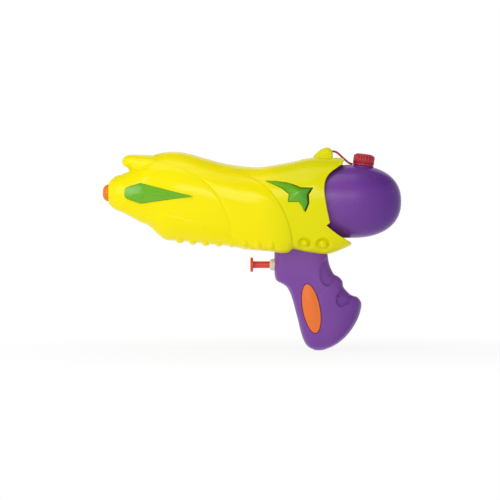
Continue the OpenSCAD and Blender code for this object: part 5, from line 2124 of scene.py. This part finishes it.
@dataclass
class Studio:
    """Pale floor, white surround, soft lamps and the camera of the photograph."""

    aim: Triple = (-0.0612, 0.0, 0.0432)
    distance: float = 2.0
    frame_width: float = 0.45
    sensor: float = 36.0
    view_end: float = 50.0
    boxes: tuple[tuple[str, float, float, float, Pair, float], ...] = (
        ("front_box", -5, 12, 2.4, (0.95, 0.36), 6.9), ("left_box", -46, 16, 0.95, (0.36, 0.5), 2.1),
        ("top_box", -25, 60, 1.5, (1.0, 1.0), 7.2), ("rear_box", 165, 45, 1.8, (1.4, 1.0), 3.5))
    surround: float = 0.32
    ceiling: float = 0.25
    ceiling_from: Pair = (0.25, 0.8)
    floor_half: float = 6.0
    floor_gap: float = 0.0004
    floor_grey: float = 0.86
    floor_white: float = 0.88
    floor_fade: Pair = (0.06, 0.4)
    bounce: float = 0.78

    def camera(self) -> None:
        """Sets the camera level with the object, on its left side."""
        lens = bpy.data.cameras.new("camera")
        lens.sensor_width = self.sensor
        lens.lens = self.sensor * self.distance / self.frame_width
        lens.clip_end = self.view_end
        eye = placed("camera", lens)
        eye.location = (self.aim[0], self.aim[1] - self.distance, self.aim[2])
        eye.rotation_euler = (math.radians(90), 0, 0)
        bpy.context.scene.camera = eye

    def lamp(self, name: str, azimuth: float, elevation: float, distance: float, size: Pair,
             power: float) -> None:
        """Hangs a soft box that faces the object.

        Args:
            name: the lamp's name.
            azimuth: degrees round from the camera, positive to the right.
            elevation: degrees above the floor.
            distance: distance from the object.
            size: its width and height.
            power: its power in watts.
        """
        light = bpy.data.lights.new(name, "AREA")
        light.shape, light.size, light.size_y, light.energy = "RECTANGLE", *size, power
        facing = turned(rx=90 - elevation, rz=azimuth)
        placed(name, light).matrix_world = (Matrix.Translation(self.aim) @ facing
                                            @ Matrix.Translation((0, 0, distance)))

    @staticmethod
    def shown(w: Wiring) -> NodeSocket:
        """Rays that see the white background: camera, glossy and transmission rays.

        Args:
            w: the wiring of the material or world.

        Returns:
            The socket that is 1 for those rays.
        """
        path = w.add("LightPath")
        rays = path.outputs["Is Camera Ray"]
        for kind in ("Is Glossy Ray", "Is Transmission Ray"):
            either = w.math("MAXIMUM")
            w.join(rays, either.inputs[0])
            w.link((path, kind, either, 1))
            rays = either.outputs[0]
        return rays

    def world(self) -> None:
        """Gives a white background under a dimmer ceiling, and lights the object with a dimmer surround."""
        world = bpy.data.worlds.new("surround")
        bpy.context.scene.world = world
        world.use_nodes = True
        w = Wiring(world.node_tree)
        world.node_tree.nodes.clear()
        out, pick = w.add("OutputWorld"), w.add("MixShader")
        light = w.add("Background", Color=(1, 1, 1, 1), Strength=self.surround)
        seen = w.add("Background", Color=(1, 1, 1, 1), Strength=1.0)
        place, apart = w.add("TexCoord"), w.add("SeparateXYZ")
        above = w.add("MapRange", {"interpolation_type": "SMOOTHSTEP"}, From_Min=self.ceiling_from[0],
                      From_Max=self.ceiling_from[1], To_Min=1.0, To_Max=self.ceiling)
        w.join(self.shown(w), pick.inputs[0])
        w.link((place, "Generated", apart, 0), (apart, "Z", above, "Value"),
               (above, "Result", seen, "Strength"), (light, 0, pick, 1), (seen, 0, pick, 2),
               (pick, 0, out, 0))

    def floor(self, height: float) -> None:
        """Lays the pale floor, which fades into the white surround away from the object.

        Args:
            height: height of the floor in metres.
        """
        mesh = bpy.data.meshes.new("floor")
        r = self.floor_half
        corners = [(x, y, height) for x, y in ((-r, -r), (r, -r), (r, r), (-r, r))]
        mesh.from_pydata(corners, [], [(0, 1, 2, 3)])
        plate = placed("floor", mesh)
        material, w, shader = Wiring.material("pale_floor")
        w.fill(shader, Base_Color=(*[self.floor_grey] * 3, 1), Roughness=0.9, Specular_IOR_Level=0.1)
        place, far = w.add("TexCoord"), w.add("VectorMath", {"operation": "LENGTH"})
        fade = w.add("MapRange", {"interpolation_type": "SMOOTHSTEP"}, From_Min=self.floor_fade[0],
                     From_Max=self.floor_fade[1], To_Min=self.floor_white, To_Max=1.0)
        glow = w.add("Emission", Strength=1.0)
        share, blend = w.add("MapRange", To_Min=self.bounce), w.add("MixShader")
        w.join(self.shown(w), share.inputs["Value"])
        w.link((place, "Object", far, 0), (far, "Value", fade, "Value"), (fade, "Result", share, "To Max"),
               (share, "Result", blend, 0), (shader, 0, blend, 1), (glow, 0, blend, 2),
               (blend, 0, material.node_tree.nodes["Material Output"], 0))
        mesh.materials.append(material)

    def build(self) -> None:
        """Sets the whole studio."""
        self.camera()
        for box in self.boxes:
            self.lamp(*box)
        self.world()
        self.floor(float(CAD_BOX[0][2]) - self.floor_gap)
        bpy.context.scene.view_settings.view_transform = "Standard"


def main() -> None:
    """Builds the studio and every sub-assembly."""
    logging.basicConfig(level=logging.INFO, format="%(name)s: %(message)s")
    Studio().build()
    shop = Workshop()
    shell, grip, tank, trim = Shell(), Grip(), Tank(), Trim()
    tank.build(shop)
    shell.build(shop, trim, tank)
    grip.build(shop, trim)
    trim.build(shop, shell, grip)
    Cap().build(shop, tank)
    Pump().build(shop, shell.screws + grip.screws)


if __name__ == "__main__":
    main()
